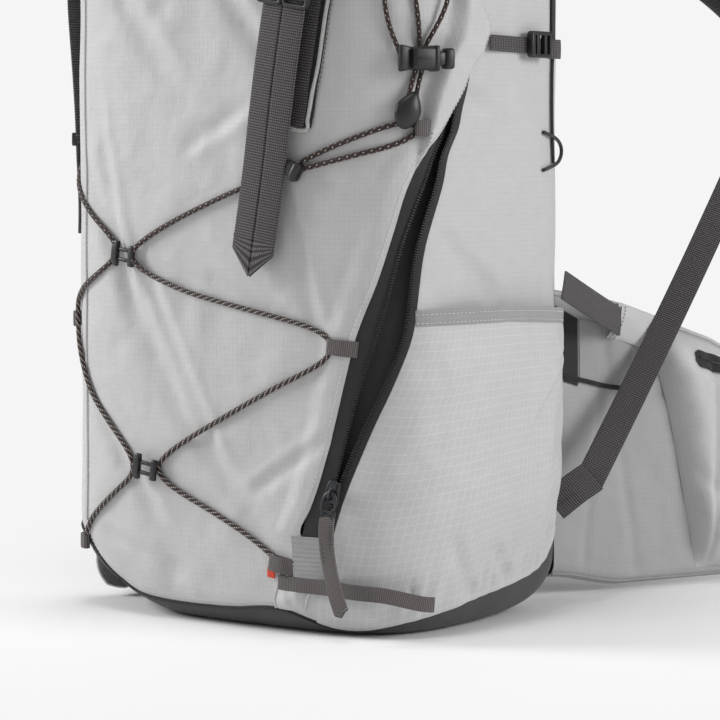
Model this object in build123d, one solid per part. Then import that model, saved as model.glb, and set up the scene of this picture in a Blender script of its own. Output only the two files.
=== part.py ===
from build123d import *
import math
import os

# Frame: millimetres, +Z up, origin on the floor under the middle of the bag.
# The bag front faces -Y, the wearer's side faces +Y, the wearer's right hand is at +X seen from the front.

# ---- driving dimensions ----
BAG_HALF_WIDTH = 150
BAG_HALF_DEPTH = 112
BAG_POWER = 4
BAG_TOP = 440
BASE_RADIUS = 24
BASE_TOP = 22
WALL = 5
CLEAR = 0.4
SKIN_GAP = 0.3
WEB_THICK = 1.5
RING_POINTS = 32
LEVELS = [0, 3, 8, 15, 24, 120, 240, 340, 440]

LEFT_SEAM_ANGLE = -50
BACK_SEAM_ANGLE = 130
FAR = 900

ZIP_BOTTOM = 62
ZIP_GAP_BOTTOM = 76
ZIP_TOP = 350
ZIP_GAP = 26
ZIP_TAPE_FRONT = 12
ZIP_TAPE_SIDE = 8
ZIP_STEP = 24
SLIDER_HEIGHT = 94
SLIDER_SIZE = (11, 12, 6)
PULLER_LENGTH = 68
PULLER_WIDTH = 10
SLIDER_OFF = 2.4

POCKET_TOP = 203
POCKET_BOTTOM = 39
POCKET_WALL = 3
POCKET_POWER = 3
POCKET_HALF_WIDTH = 168
POCKET_HALF_DEPTH = 115
POCKET_FRONT_Y = -96
POCKET_BACK_Y = 84

COLLAR_TOP = 468
COLLAR_WALL = 4
COLLAR_NARROW = 22

LID_BOTTOM = 428
LID_CAVITY_TOP = 476
LID_TOP = 548
LID_GAP = 5
LID_WALL = 5
LID_HINGE_HEIGHT = 442
HINGE_STRIP = (88, 9)
LID_ZIP_HEIGHT = 500
LID_ZIP_HALF_LENGTH = 92
LID_ZIP_DEPTH = 9

CORD = 3
CORD_OFF = 2.2
CORD_CORNER = 0.45

WEB_15 = 15
WEB_20 = 20
WEB_10 = 10
WEB_25 = 25

STRAP_TILT = 9
STRAP_TOP_X = 62
STRAP_TOP_Z = 394
STRAP_LENGTH = 156
STRAP_TIP = 16
STRAP_OFF = 5.8
STRAP_PLAY = 0.95
LOCK_15 = (21, 22, 6)
LOCK_20 = (28, 26, 7)

SHOULDER_X = 56
SHOULDER_WIDTH = 60
SHOULDER_THICK = 12
SHOULDER_TILT = 25.5
SHOULDER_YAW = 18
SHOULDER_TOP_Z = 392
SEAT_GAP = 0.3
NECK_RADIUS = 5.6
NECK_LENGTH = 28
ANCHOR_POINT = (145, 112, 84)

WING_BOTTOM = 8
WING_TOP = 200
WING_THICK = 12
WING_POCKET_THICK = 22


# ---- bag surface ----
def tuck(z):
    """How far the wall is drawn in at height z by the rounded bottom edge."""
    if z >= BASE_RADIUS:
        return 0
    rise = BASE_RADIUS - z
    return BASE_RADIUS - math.sqrt(BASE_RADIUS ** 2 - rise ** 2)


def ring(half_width, half_depth, z, power=BAG_POWER):
    """Closed smooth outline of the bag at one height."""
    points = []
    for i in range(RING_POINTS):
        turn = 2 * math.pi * (i + 0.5) / RING_POINTS
        c = math.cos(turn)
        s = math.sin(turn)
        x = half_width * math.copysign(abs(c) ** (2 / power), c)
        y = half_depth * math.copysign(abs(s) ** (2 / power), s)
        points.append(Vector(x, y, z))
    return Wire([Edge.make_spline(points, periodic=True)])


def bag(off, bottom, top):
    """Solid bag shape grown by off, between two heights."""
    heights = [bottom] + [z for z in LEVELS if bottom < z < top] + [top]
    rings = []
    for z in heights:
        t = tuck(z)
        rings.append(ring(BAG_HALF_WIDTH - t + off, BAG_HALF_DEPTH - t + off, z))
    return Solid.make_loft(rings, True)


def skin(inner, outer, bottom, top):
    """Sleeve between two offsets of the bag surface."""
    return bag(outer, bottom, top) - bag(inner, bottom - 0.01, top + 0.01)


def on_bag(angle, z, off=0.0):
    """Point on the bag; angle in degrees from the middle of the front towards +X."""
    a = BAG_HALF_WIDTH - tuck(z) + off
    b = BAG_HALF_DEPTH - tuck(z) + off
    s = math.sin(math.radians(angle))
    c = -math.cos(math.radians(angle))
    r = ((abs(s) / a) ** BAG_POWER + (abs(c) / b) ** BAG_POWER) ** (-1 / BAG_POWER)
    return Vector(r * s, r * c, z)


def bag_normal(p):
    """Outward horizontal direction of the bag surface at a point on it."""
    nx = math.copysign((abs(p.X) / BAG_HALF_WIDTH) ** (BAG_POWER - 1) / BAG_HALF_WIDTH, p.X)
    ny = math.copysign((abs(p.Y) / BAG_HALF_DEPTH) ** (BAG_POWER - 1) / BAG_HALF_DEPTH, p.Y)
    return Vector(nx, ny, 0).normalized()


def front_angle(x):
    """Angle of the front surface point that lies at this X."""
    y = BAG_HALF_DEPTH * (1 - (abs(x) / BAG_HALF_WIDTH) ** BAG_POWER) ** (1 / BAG_POWER)
    return math.degrees(math.atan2(x, y))


def seat(angle, z, off=0.0, lean=0.0):
    """Plane on the bag: x along the surface, y up the bag, z outwards, turned by lean."""
    p = on_bag(angle, z, off)
    n = bag_normal(p)
    turn = math.radians(lean)
    along = Vector(-n.Y, n.X, 0) * math.cos(turn) + Vector(0, 0, math.sin(turn))
    return Plane(origin=p, x_dir=along, z_dir=n)


def box_between(low, high):
    """Box given by two corners."""
    size = [h - l for l, h in zip(low, high)]
    centre = [(h + l) / 2 for l, h in zip(low, high)]
    return Pos(*centre) * Box(*size)


def polygon_loft(outlines):
    """Ruled solid through closed outlines of points."""
    wires = [Wire.make_polygon([Vector(*p) for p in outline], close=True) for outline in outlines]
    return Solid.make_loft(wires, True)


def mirrored(shape):
    """Copy for the other side of the bag."""
    return mirror(shape, about=Plane.YZ)


# ---- curved front zip ----
def seam_angle(z):
    """Angle of the zip seam, which runs round the front right corner as it climbs."""
    h = max(z, ZIP_BOTTOM - 40) - ZIP_BOTTOM
    return 38.5 + 0.085 * h + 0.00025 * h * abs(h)


def zip_opening(z):
    """Width of the opening at one height."""
    t = (z - ZIP_GAP_BOTTOM) / (ZIP_TOP - ZIP_GAP_BOTTOM)
    t = min(max(t, 0.0), 1.0)
    return max(0.2, ZIP_GAP * math.sin(math.pi * t) ** 0.7) if 0 < t < 1 else 0.2


def zip_strip(left, right, inner, outer, bottom, top):
    """Upright wall beside the zip seam: left and right give its edges at each height."""
    steps = max(2, round((top - bottom) / ZIP_STEP))
    outlines = []
    for i in range(steps + 1):
        z = bottom + (top - bottom) * i / steps
        p = on_bag(seam_angle(z), z)
        n = bag_normal(p)
        along = Vector(-n.Y, n.X, 0)
        corners = [(left(z), inner), (right(z), inner), (right(z), outer), (left(z), outer)]
        outlines.append([tuple(p + along * s + n * d) for s, d in corners])
    return polygon_loft(outlines)


def wedge(first, last, bottom, top):
    """Sector of the bag between two angles, which may change with height."""
    steps = round((top - bottom) / ZIP_STEP)
    outlines = []
    for i in range(steps + 1):
        z = bottom + (top - bottom) * i / steps
        a = math.radians(first(z))
        b = math.radians(last(z))
        far_a = (FAR * math.sin(a), -FAR * math.cos(a), z)
        far_b = (FAR * math.sin(b), -FAR * math.cos(b), z)
        outlines.append([(0, 0, z), far_a, far_b])
    return polygon_loft(outlines)


# ---- fabric shell ----
def bag_panels():
    """Front, sides and back as touching panels, with the open zip cut through."""
    shell = bag(0, BASE_TOP, BAG_TOP) - bag(-WALL, BASE_TOP - 1, BAG_TOP + 1)
    low = BASE_TOP - 2
    high = BAG_TOP + 2
    front_part = wedge(lambda z: LEFT_SEAM_ANGLE, seam_angle, low, high)
    back_part = wedge(lambda z: BACK_SEAM_ANGLE, lambda z: 360 - BACK_SEAM_ANGLE, low, high)
    left_part = wedge(lambda z: 360 - BACK_SEAM_ANGLE, lambda z: 360 + LEFT_SEAM_ANGLE, low, high)
    gap = zip_strip(lambda z: -0.2, zip_opening, -4 * WALL, 4 * WALL, ZIP_GAP_BOTTOM, ZIP_TOP)
    front = (shell & front_part) - gap
    back = shell & back_part
    left = shell & left_part
    right = shell - front_part - back_part - left_part - gap
    return front, left, right, back


def base_panel():
    """Dark base tray."""
    return bag(0, 0, BASE_TOP) - bag(-WALL, WALL, BASE_TOP + 1)


def collar():
    """Throat of the top opening, drawn in towards its mouth."""
    def throat(off, bottom, top):
        low = ring(BAG_HALF_WIDTH + off, BAG_HALF_DEPTH + off, bottom)
        narrow = COLLAR_NARROW * (top - BAG_TOP) / (COLLAR_TOP - BAG_TOP)
        high = ring(BAG_HALF_WIDTH - narrow + off, BAG_HALF_DEPTH - narrow + off, top)
        return Solid.make_loft([low, high], True)
    return throat(0, BAG_TOP, COLLAR_TOP) - throat(-COLLAR_WALL, BAG_TOP - 0.01, COLLAR_TOP + 0.01)


def back_pad():
    """Two foam columns on the wearer's side, joined across the top."""
    sleeve = skin(CLEAR, 11, 150, 372)
    columns = box_between((-96, 60, 140), (96, 140, 380))
    channel = box_between((-16, 60, 140), (16, 140, 340))
    return (sleeve & columns) - channel


def lumbar_pad():
    """Foam pad behind the hip belt."""
    pad = skin(CLEAR, 13, 42, 142) & box_between((-92, 60, 40), (92, 140, 145))
    root = WING_LINE[0]
    socket = Pos(*root, 92) * Cylinder(WING_THICK / 2 + SEAT_GAP, 200)
    ear = box_between((80, 90, 46), (root[0] - 2, root[1] - 2, 138)) - bag(CLEAR, 24, 240) - socket
    return pad + ear + mirrored(ear)


def haul_loop():
    """Webbing handle sewn across the top of the back, and the strip that the lid is sewn to."""
    half = 45
    bow = 26
    outer = ThreePointArc((-half, 0), (0, bow), (half, 0))
    inner = ThreePointArc((-half + 4, 0), (0, bow - WEB_THICK - 1), (half - 4, 0))
    outline = Wire([outer.edge(), Line(outer @ 1, inner @ 1).edge(),
                    inner.edge(), Line(inner @ 0, outer @ 0).edge()])
    handle = Pos(0, BAG_HALF_DEPTH + CLEAR, BAG_TOP - 24) * extrude(Face(outline), WEB_20)
    width, height = HINGE_STRIP
    top = LID_HINGE_HEIGHT + 4
    strip = box_between((-width / 2, BAG_HALF_DEPTH + CLEAR, top - height),
                        (width / 2, BAG_HALF_DEPTH + LID_GAP - 2 * SEAT_GAP, top))
    return [handle, strip]


def side_pocket():
    """Open-topped pocket on the right side, fuller in the middle than the bag wall."""
    def pouch(shrink, bottom, top):
        rings = [ring(POCKET_HALF_WIDTH - shrink - 10, POCKET_HALF_DEPTH - shrink, bottom, POCKET_POWER),
                 ring(POCKET_HALF_WIDTH - shrink, POCKET_HALF_DEPTH - shrink, (bottom + top) / 2, POCKET_POWER),
                 ring(POCKET_HALF_WIDTH - shrink - 4, POCKET_HALF_DEPTH - shrink, top, POCKET_POWER)]
        return Solid.make_loft(rings, True)
    outside = pouch(0, POCKET_BOTTOM, POCKET_TOP)
    inside = pouch(POCKET_WALL, POCKET_BOTTOM + POCKET_WALL, POCKET_TOP + 1)

    def behind_zip(extra):
        return zip_strip(lambda z: -90, lambda z: zip_opening(z) + ZIP_TAPE_SIDE + extra,
                         -60, 80, POCKET_BOTTOM - 12, POCKET_TOP + 12)
    inside = inside & box_between((90, POCKET_FRONT_Y, 0), (220, POCKET_BACK_Y - POCKET_WALL, 300))
    inside = inside - behind_zip(1 + POCKET_WALL)
    body = outside & box_between((90, POCKET_FRONT_Y, 0), (220, POCKET_BACK_Y, 300))
    body = body - behind_zip(1) - bag(CLEAR, BASE_TOP, POCKET_TOP + 20)
    pocket = body - inside
    return pocket.solids().sort_by(SortBy.VOLUME)[-1]


# ---- front zip ----
def front_zip_tapes():
    """The two tapes, each with its row of teeth on the opening side."""
    sleeve = skin(CLEAR, 1.9, ZIP_BOTTOM - 2, ZIP_TOP + 2)
    low = ZIP_BOTTOM
    high = ZIP_TOP - 4
    front_tape = zip_strip(lambda z: -ZIP_TAPE_FRONT, lambda z: -0.4, -8, 8, low, high)
    side_tape = zip_strip(lambda z: zip_opening(z) + 0.4, lambda z: zip_opening(z) + ZIP_TAPE_SIDE,
                          -8, 8, low, high)
    return [sleeve & front_tape, sleeve & side_tape]


def zip_direction(z):
    """Unit direction of the zip line, upwards."""
    step = 12
    low = on_bag(seam_angle(z - step), z - step)
    high = on_bag(seam_angle(z + step), z + step)
    return (high - low).normalized()


def zip_seat(off):
    """Plane on the slider: y up the zip line, z outwards."""
    n = bag_normal(on_bag(seam_angle(SLIDER_HEIGHT), SLIDER_HEIGHT))
    up = zip_direction(SLIDER_HEIGHT)
    out = (n - up * n.dot(up)).normalized()
    origin = on_bag(seam_angle(SLIDER_HEIGHT), SLIDER_HEIGHT) + out * off
    return Plane(origin=origin, x_dir=up.cross(out), z_dir=out)


def zip_slider():
    """Slider body with a bridge for the puller's ring."""
    width, length, height = SLIDER_SIZE
    plane = zip_seat(SLIDER_OFF)
    body = Pos(0, 0, height / 4) * Box(width, length, height / 2)
    bridge = Pos(0, 0, height * 0.75) * Box(3, length, height / 2)
    eye = Pos(0, -1, height / 2 + 1.4) * Rot(0, 90, 0) * Cylinder(1.3, 6)
    return plane * ((body + bridge) - eye)


def zip_puller():
    """Ring through the bridge and the folded webbing pull below it."""
    width, length, height = SLIDER_SIZE
    plane = zip_seat(SLIDER_OFF)
    pin = Pos(0, -1, height / 2 + 1.4) * Rot(0, 90, 0) * Cylinder(0.9, 8)
    arms = [Pos(side * 4.6, -8, height / 2 + 1.4) * Box(1.4, 15, 1.8) for side in (-1, 1)]
    cross_bar = Pos(0, -15.4, height / 2 + 1.4) * Box(10.6, 1.8, 1.8)
    tape = Pos(0, -15 - PULLER_LENGTH / 2, height / 2 + 1.4) * Box(PULLER_WIDTH, PULLER_LENGTH, 3)
    return plane * (pin + arms[0] + arms[1] + cross_bar + tape)


# ---- cords ----
def cord_tube(points, name, diameter=CORD):
    """Round cord along straight runs joined by tangent arcs."""
    radii = []
    for i in range(1, len(points) - 1):
        before = points[i] - points[i - 1]
        after = points[i + 1] - points[i]
        half_turn = math.radians(before.get_angle(after)) / 2
        radii.append(CORD_CORNER * min(before.length, after.length) / max(math.tan(half_turn), 0.001))
    print(name, "corner radii", [round(r, 1) for r in radii])
    corners = FilletPolyline(*points, radius=radii)
    start = Plane(origin=points[0], z_dir=points[1] - points[0])
    return sweep(start * Circle(diameter / 2), path=corners)


def bag_route(places, off=CORD_OFF):
    """Points on the bag from angle and height pairs."""
    return [on_bag(angle, z, off) for angle, z in places]


BUNGEE_RIGHT = [(33, 290), (16, 277), (-4, 264), (-18.5, 253), (-27, 244.5), (-30.5, 236.5), (-27.5, 228.5),
                (-20, 221.5), (-7, 213), (14, 205), (31, 198), (39, 192.5), (42.5, 185.5), (42, 177),
                (38, 169), (28, 157), (10.5, 138), (-8, 120), (-17.5, 107.5), (-20.8, 98.8), (-17.8, 91),
                (-10.5, 83.5), (0, 75.5), (12, 65.5), (22, 55), (27.5, 46.5)]
BUNGEE_LEFT = [(-68, 306), (-61, 293), (-54, 278), (-46.5, 263), (-40.5, 250.5), (-37.3, 241.5), (-38, 233),
               (-42.5, 224), (-49, 215.5), (-54, 207), (-55.8, 197), (-55, 186), (-52.5, 173), (-49.5, 158),
               (-46, 144), (-41, 130), (-35.5, 117.5), (-31.3, 108), (-29.8, 99.5), (-31.5, 91.5),
               (-36, 82), (-42, 70), (-47, 58.5), (-50, 48)]
BUNGEE_ADJUSTER = [(38.5, 290), (42, 294), (47, 299.5), (53, 304.5), (58, 309), (61.5, 313.5), (61.5, 319),
                   (57.5, 321.5), (52.5, 318.5), (47, 311), (42, 302.5), (38.5, 296)]
DRAWCORD = [
    [(57, 430, 2.1), (56, 415, 2.1), (54.8, 400, 2.1), (55, 387, 2.1), (56.5, 378, 2.1), (59, 369, 2.1),
     (60.6, 360, 2.1), (61.5, 351.5, 2.3), (61.4, 347, 3.2), (60.9, 342.4, 5.2)],
    [(61, 430, 2.1), (61, 411, 2.1), (61.4, 394, 2.1), (62.4, 381, 2.1), (63, 371, 2.1), (63.6, 361, 2.1),
     (63.9, 351.5, 2.3), (63.5, 347, 3.2), (62.7, 342.4, 5.2)],
    [(70.5, 430, 2.1), (70, 411, 2.1), (69, 394, 2.1), (67.5, 381, 2.1), (66.3, 371, 2.1), (65.7, 362, 2.1)],
]


def drawcord():
    """Strands that pass the cord lock; two of them run on down to the end grip."""
    tubes = []
    for i, places in enumerate(DRAWCORD):
        points = [on_bag(angle, z, off) for angle, z, off in places]
        tubes.append(cord_tube(points, f"drawcord {i}"))
    return tubes


def side_cord_loops():
    """Thin cord loop on each back corner, for a pole or a hook."""
    places = [(114, 322), (117, 314), (118, 305), (116, 297), (112.5, 290)]
    offs = [1.6, 9, 12, 9, 1.6]
    points = [on_bag(a, z, o) for (a, z), o in zip(places, offs)]
    loop = cord_tube(points, "side cord loop", 2.4)
    return [loop, mirrored(loop)]


# ---- bungee fittings ----
def bungee_fittings():
    """Two cord hooks and the connector at the bungee's upper end."""
    pieces = []
    for angle, z, lean in ((-34, 237, -8), (-25.4, 99, -8)):
        plate = Pos(0, 0, 1) * Box(11, 17, 2)
        waist = Pos(8.5, 0, 1) * Box(6, 8, 2)
        knob = Pos(13.5, 0, 1) * Box(4, 13, 2)
        foot = Pos(-2.5, 0, -1.6) * Box(5, 12, 3.4)
        pieces.append(seat(angle, z, CORD_OFF + CORD / 2 + SEAT_GAP, lean) * (plate + waist + knob + foot))
    body = fillet(Box(11, 14, 8).edges().filter_by(Axis.Z), 3)
    pieces.append(seat(37, 291, 8.1, 14) * body)
    return pieces


def bottom_tape():
    """Long tape across the foot of the front right corner."""
    band = box_between((0, -200, 26), (200, 0, 36))
    tape = skin(2.6, 4.2, 20, 50) & wedge(lambda z: 28, lambda z: 66, 24, 48) & band
    for angle in (28, 65):
        end = skin(CLEAR, 4.2, 20, 50) & wedge(lambda z: angle, lambda z: angle + 1, 24, 48) & band
        tape = tape + end
    return tape


def tape_loops():
    """Folded tape loops at the turning points of the bungee, and the long one at the foot."""
    places = [(64, 318, 0, 9, 1), (45, 182, -6, 14, 1), (29, 44, -10, 13, 1),
              (-58, 192, 0, 12, -1), (-52, 44, 0, 12, -1)]
    thick = 1.2
    loops = []
    for angle, z, lean, length, side in places:
        outer = Pos(0, 0, CORD + 1.3 + thick) * Box(length, WEB_10, thick)
        leg = Pos(side * (length - thick) / 2, 0, CORD / 2 + 1.55) * Box(thick, WEB_10, CORD + 2.1)
        loops.append(seat(angle, z, 0, lean) * (outer + leg))
    return [*loops, bottom_tape()]


# ---- cord lock ----
LOCK_SEAT = (63, 360, 9)


def cord_lock_body():
    """Spring cord lock barrel with three cord passages."""
    angle, z, off = LOCK_SEAT
    plane = seat(angle, z, off)
    barrel = Box(18, 15, 11) - Pos(5, 0, 0) * Box(12, 9, 7.2)
    clip = Pos(-12, 0, -1) * Box(7, 20, 5)
    return plane * (barrel + clip)


def cord_lock_button():
    """Sprung button in the end of the barrel."""
    angle, z, off = LOCK_SEAT
    plane = seat(angle, z, off)
    stem = Pos(9, 0, 0) * Box(9, 8.4, 6.4)
    head = Pos(17, 0, 0) * Box(7, 14, 9)
    return plane * (stem + head)


def cord_end_grip():
    """Drop-shaped grip on the drawcord's end."""
    plane = seat(61, 333, 3.4)
    outline = Ellipse(8.5, 9) + Pos(0, 3.5) * Rectangle(9, 10)
    return plane * extrude(outline, 7)


# ---- front strap ----
def strap_plane(off):
    """Plane of the hanging front strap at its top: y up the strap, z outwards."""
    origin = Vector(STRAP_TOP_X, -(BAG_HALF_DEPTH + off), STRAP_TOP_Z)
    turn = math.radians(STRAP_TILT)
    return Plane(origin=origin, x_dir=(math.cos(turn), 0, -math.sin(turn)), z_dir=(0, -1, 0))


def strap_tail():
    """Double webbing with its ends sewn to a point."""
    width = 2 * WEB_15 + 1
    points = [(-width / 2, 0), (width / 2, 0), (width / 2, -STRAP_LENGTH),
              (0, -STRAP_LENGTH - STRAP_TIP), (-width / 2, -STRAP_LENGTH)]
    outline = Polyline(*points, close=True)
    face = make_face(outline.edges())
    return strap_plane(STRAP_OFF) * extrude(face, 2.4)


def ladder_lock(size):
    """Three-bar webbing adjuster, lying flat: y along the webbing."""
    width, length, height = size
    frame = Box(width, length, height)
    slot = Box(width - 5, length * 0.2, height + 1)
    for y in (-0.26, 0.12):
        frame = frame - Pos(0, length * y, 0) * slot
    return frame


def front_ladder_locks():
    """The two adjusters that hold the strap tail below the lid."""
    locks = []
    for side in (-1, 1):
        place = Pos(side * (WEB_15 / 2 + 3), STRAP_PLAY + LOCK_15[1] / 2, LOCK_15[2] / 2)
        locks.append(strap_plane(STRAP_OFF) * place * ladder_lock(LOCK_15))
    return locks


def lid_webbing():
    """Short webbings from the lid down into the front adjusters."""
    bands = []
    for side in (-1, 1):
        x = STRAP_TOP_X + 5 + side * (WEB_15 / 2 + 3)
        low = STRAP_TOP_Z + LOCK_15[1] + 2.6 - side * 1.65
        bands.append(box_between((x - WEB_15 / 2, -124.6, low), (x + WEB_15 / 2, -122.6, 470)))
    return bands


def strap_anchor_webbing():
    """Webbing sewn to the front in its dark slot, beside the strap."""
    sleeve = skin(CLEAR, 2, 300, 430)
    plane = seat(front_angle(80), 362, 0, -6)
    return sleeve & (plane * Box(WEB_15, 92, 30))


# ---- side straps ----
def compression_straps():
    """Thin webbing across each side, below the lid."""
    sleeve = skin(CLEAR, 1.9, 350, 390)
    right = sleeve & box_between((100, -14, 367), (200, 80, 377))
    return [right, mirrored(right)]


def compression_ladder_locks():
    """Adjuster on each compression strap."""
    plane = Plane(origin=(BAG_HALF_WIDTH + 5.4, 36, 372), x_dir=(0, 0, 1), z_dir=(1, 0, 0))
    right = plane * ladder_lock((18, 26, 6))
    return [right, mirrored(right)]


def side_tail_webbing():
    """Long webbing tail that hangs down the left front corner from the lid."""
    upper = [(-66, 436, 12.6), (-66, 372, 10.6), (-66, 318, 5)]
    points = [on_bag(a, z, o) for a, z, o in upper]
    n = bag_normal(on_bag(-66, 360))
    pieces = None
    for low, high in ((points[1], points[0]), (points[2], points[1])):
        run = high - low
        out = (n - run * (n.dot(run) / run.dot(run))).normalized()
        plane = Plane(origin=(low + high) / 2, x_dir=run.cross(out), z_dir=out)
        band = plane * Box(WEB_15, run.length + 2, 3)
        pieces = band if pieces is None else pieces + band
    tail = seat(-66, 284, 5.2) * Box(WEB_15, 72, 3)
    return pieces + tail


def webbing_anchor_tabs():
    """Folded webbing tabs on the bottom back corners."""
    foot = on_bag(124.5, 62, -2)
    run = Vector(*ANCHOR_POINT) - foot
    direction = run.normalized()
    out = (WEB_FACE - direction * WEB_FACE.dot(direction)).normalized()
    plane = Plane(origin=foot + run / 2, x_dir=direction, z_dir=out)
    tab = plane * Box(run.length, 22, 4) - bag(CLEAR, 24, 120)
    tab = tab.solids().sort_by(SortBy.VOLUME)[-1]
    return [tab, mirrored(tab)]


def stabilizer_webbings():
    """Webbing from the back corners of the bag to the hip belt."""
    band = band_between(Vector(143, 75, 219), Vector(126, 170, 194), WEB_20, WEB_THICK, Vector(1, 0.3, 0.2))
    band = band - bag(CLEAR, 120, 240)
    return [band, mirrored(band)]


# ---- lid ----
def lid_cover():
    """Padded lid with a shallow skirt and a flat back flange for its hinge seam."""
    grow = LID_GAP + LID_WALL
    rings = []
    for z, shrink in ((LID_BOTTOM, 0), (505, 0), (528, 8), (541, 22), (LID_TOP, 44)):
        rings.append(ring(BAG_HALF_WIDTH + grow - shrink, BAG_HALF_DEPTH + grow - shrink, z))
    outer = Solid.make_loft(rings, True)
    cavity = Solid.make_loft([ring(BAG_HALF_WIDTH + LID_GAP, BAG_HALF_DEPTH + LID_GAP, LID_BOTTOM - 1),
                              ring(BAG_HALF_WIDTH + LID_GAP, BAG_HALF_DEPTH + LID_GAP, LID_CAVITY_TOP)], True)
    back_cut = box_between((-200, 60, LID_BOTTOM - 2), (200, 200, LID_HINGE_HEIGHT + 2))
    groove = box_between((-LID_ZIP_HALF_LENGTH, -140, LID_ZIP_HEIGHT - 5),
                         (LID_ZIP_HALF_LENGTH, -(BAG_HALF_DEPTH + grow - LID_ZIP_DEPTH), LID_ZIP_HEIGHT + 5))
    rings = []
    for z, shrink in ((LID_CAVITY_TOP + LID_WALL, 8), (519, 8), (530, 20), (LID_TOP - LID_WALL, 44)):
        rings.append(ring(BAG_HALF_WIDTH + grow - shrink, BAG_HALF_DEPTH + grow - shrink, z))
    pocket = Solid.make_loft(rings, True)
    return outer - cavity - back_cut - pocket - groove


def lid_zip():
    """Closed zip tape set in the front of the lid."""
    deep = BAG_HALF_DEPTH + LID_GAP + LID_WALL - LID_ZIP_DEPTH
    length = LID_ZIP_HALF_LENGTH - CLEAR
    return box_between((-length, -deep - 3, LID_ZIP_HEIGHT - 4.6), (length, -deep - CLEAR, LID_ZIP_HEIGHT + 4.6))


def lid_zip_slider():
    """Slider and short pull of the lid pocket zip."""
    deep = BAG_HALF_DEPTH + LID_GAP + LID_WALL - LID_ZIP_DEPTH
    body = box_between((72, -deep - 7, LID_ZIP_HEIGHT - 4), (84, -deep - 3.4, LID_ZIP_HEIGHT + 4))
    pull = box_between((66, -deep - 9.5, LID_ZIP_HEIGHT - 3), (80, -deep - 7, LID_ZIP_HEIGHT + 3))
    return body + pull


# ---- shoulder harness ----
def harness_turn():
    """Lean and yaw of the right strap about its top anchor."""
    pivot = Pos(SHOULDER_X, BAG_HALF_DEPTH + 6, SHOULDER_TOP_Z)
    return pivot * Rot(0, 0, -SHOULDER_YAW) * Rot(0, -SHOULDER_TILT, 0) * pivot.inverse()


def tilted(shape):
    """Right shoulder strap pieces lean outwards about their top anchor."""
    return harness_turn() * shape


def tilted_point(x, y, z):
    """Where a point of the untilted strap ends up."""
    return (harness_turn() * Pos(x, y, z)).position


STRAP_LINE = [(126, 384), (142, 410), (164, 436), (205, 456), (262, 460), (318, 446), (353, 416),
              (368, 388), (374, 358)]


def shoulder_strap():
    """Padded strap that springs up from the back and curves out and down."""
    line = Spline(*[(y, z) for y, z in STRAP_LINE])
    half = SHOULDER_THICK / 2
    upper = []
    lower = []
    count = 28
    for i in range(count + 1):
        p = line @ (i / count)
        t = line % (i / count)
        upper.append((p.X - t.Y * half, p.Y + t.X * half))
        lower.append((p.X + t.Y * half, p.Y - t.X * half))
    outline = Polyline(*upper, *reversed(lower), close=True)
    face = Plane.YZ * make_face(outline.edges())
    strap = extrude(face, SHOULDER_WIDTH)
    top = Vector(SHOULDER_X, BAG_HALF_DEPTH + 6, SHOULDER_TOP_Z)
    swing = Plane(origin=top, z_dir=Vector(*ANCHOR_POINT) - top)
    neck = swing * Cylinder(NECK_RADIUS, NECK_LENGTH)
    return tilted(Pos(SHOULDER_X - SHOULDER_WIDTH / 2, 0, 0) * strap) + neck


def band_between(start, end, width, thick, face_out):
    """Flat webbing in a straight run between two points."""
    run = end - start
    out = (face_out - run * (face_out.dot(run) / run.dot(run))).normalized()
    plane = Plane(origin=(start + end) / 2, x_dir=run, z_dir=out)
    return plane * Box(run.length, width, thick)


def strap_end():
    """Lower end of the right strap's pad."""
    return tilted_point(SHOULDER_X, STRAP_LINE[-1][0], STRAP_LINE[-1][1])


WEB_FACE = Vector(0.69, -0.43, 0.58)


def webbing_run():
    """Direction from the strap end to the tab at the bag's foot."""
    return (Vector(*ANCHOR_POINT) - strap_end()).normalized()


def strap_ladder_lock():
    """Adjuster at the lower end of the shoulder pad."""
    run = webbing_run()
    out = (WEB_FACE - run * WEB_FACE.dot(run)).normalized()
    plane = Plane(origin=strap_end() + run * (LOCK_20[1] / 2 + 5), x_dir=run, z_dir=out)
    return plane * Rot(0, 0, 90) * ladder_lock(LOCK_20)


def shoulder_webbing():
    """Adjusting webbing from the pad to the foot of the bag."""
    run = webbing_run()
    start = strap_end() + run * (LOCK_20[1] + 6)
    end = Vector(*ANCHOR_POINT) + run * -5
    return band_between(start, end, WEB_20, WEB_THICK, WEB_FACE)


def load_lifter():
    """Webbing from the top of the back down to the shoulder pad."""
    start = Vector(SHOULDER_X, BAG_HALF_DEPTH + 2, BAG_TOP - 8)
    end = tilted_point(SHOULDER_X, 184, 463)
    lean = math.radians(SHOULDER_TILT)
    return band_between(start, end, WEB_15, WEB_THICK, Vector(math.sin(lean), 0, math.cos(lean)))


def sternum_place(y, z):
    return tilted_point(SHOULDER_X, y, z)


def sternum_plane():
    """Plane on the outer face of the right strap: y down the strap, z outwards."""
    low = sternum_place(371.8, 372)
    high = sternum_place(365, 396)
    along = (low - high).normalized()
    out = (sternum_place(365 + 24, 396 + 6.8) - high).normalized()
    mid = (low + high) / 2 + out * (SHOULDER_THICK / 2 + 3.3)
    return Plane(origin=mid, x_dir=along.cross(out), z_dir=out)


def sternum_slider():
    """Clip that rides on the shoulder pad's ladder tape."""
    return sternum_plane() * Pos(0, 0, 1.7) * Box(26, 14, 6.6)


def sternum_webbing():
    """Narrow webbing that hangs from its slider."""
    top = sternum_plane().origin + Vector(-6, 9.9, -4)
    return box_between((top.X - 7.5, top.Y, top.Z - 62), (top.X + 7.5, top.Y + WEB_THICK, top.Z))


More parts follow.
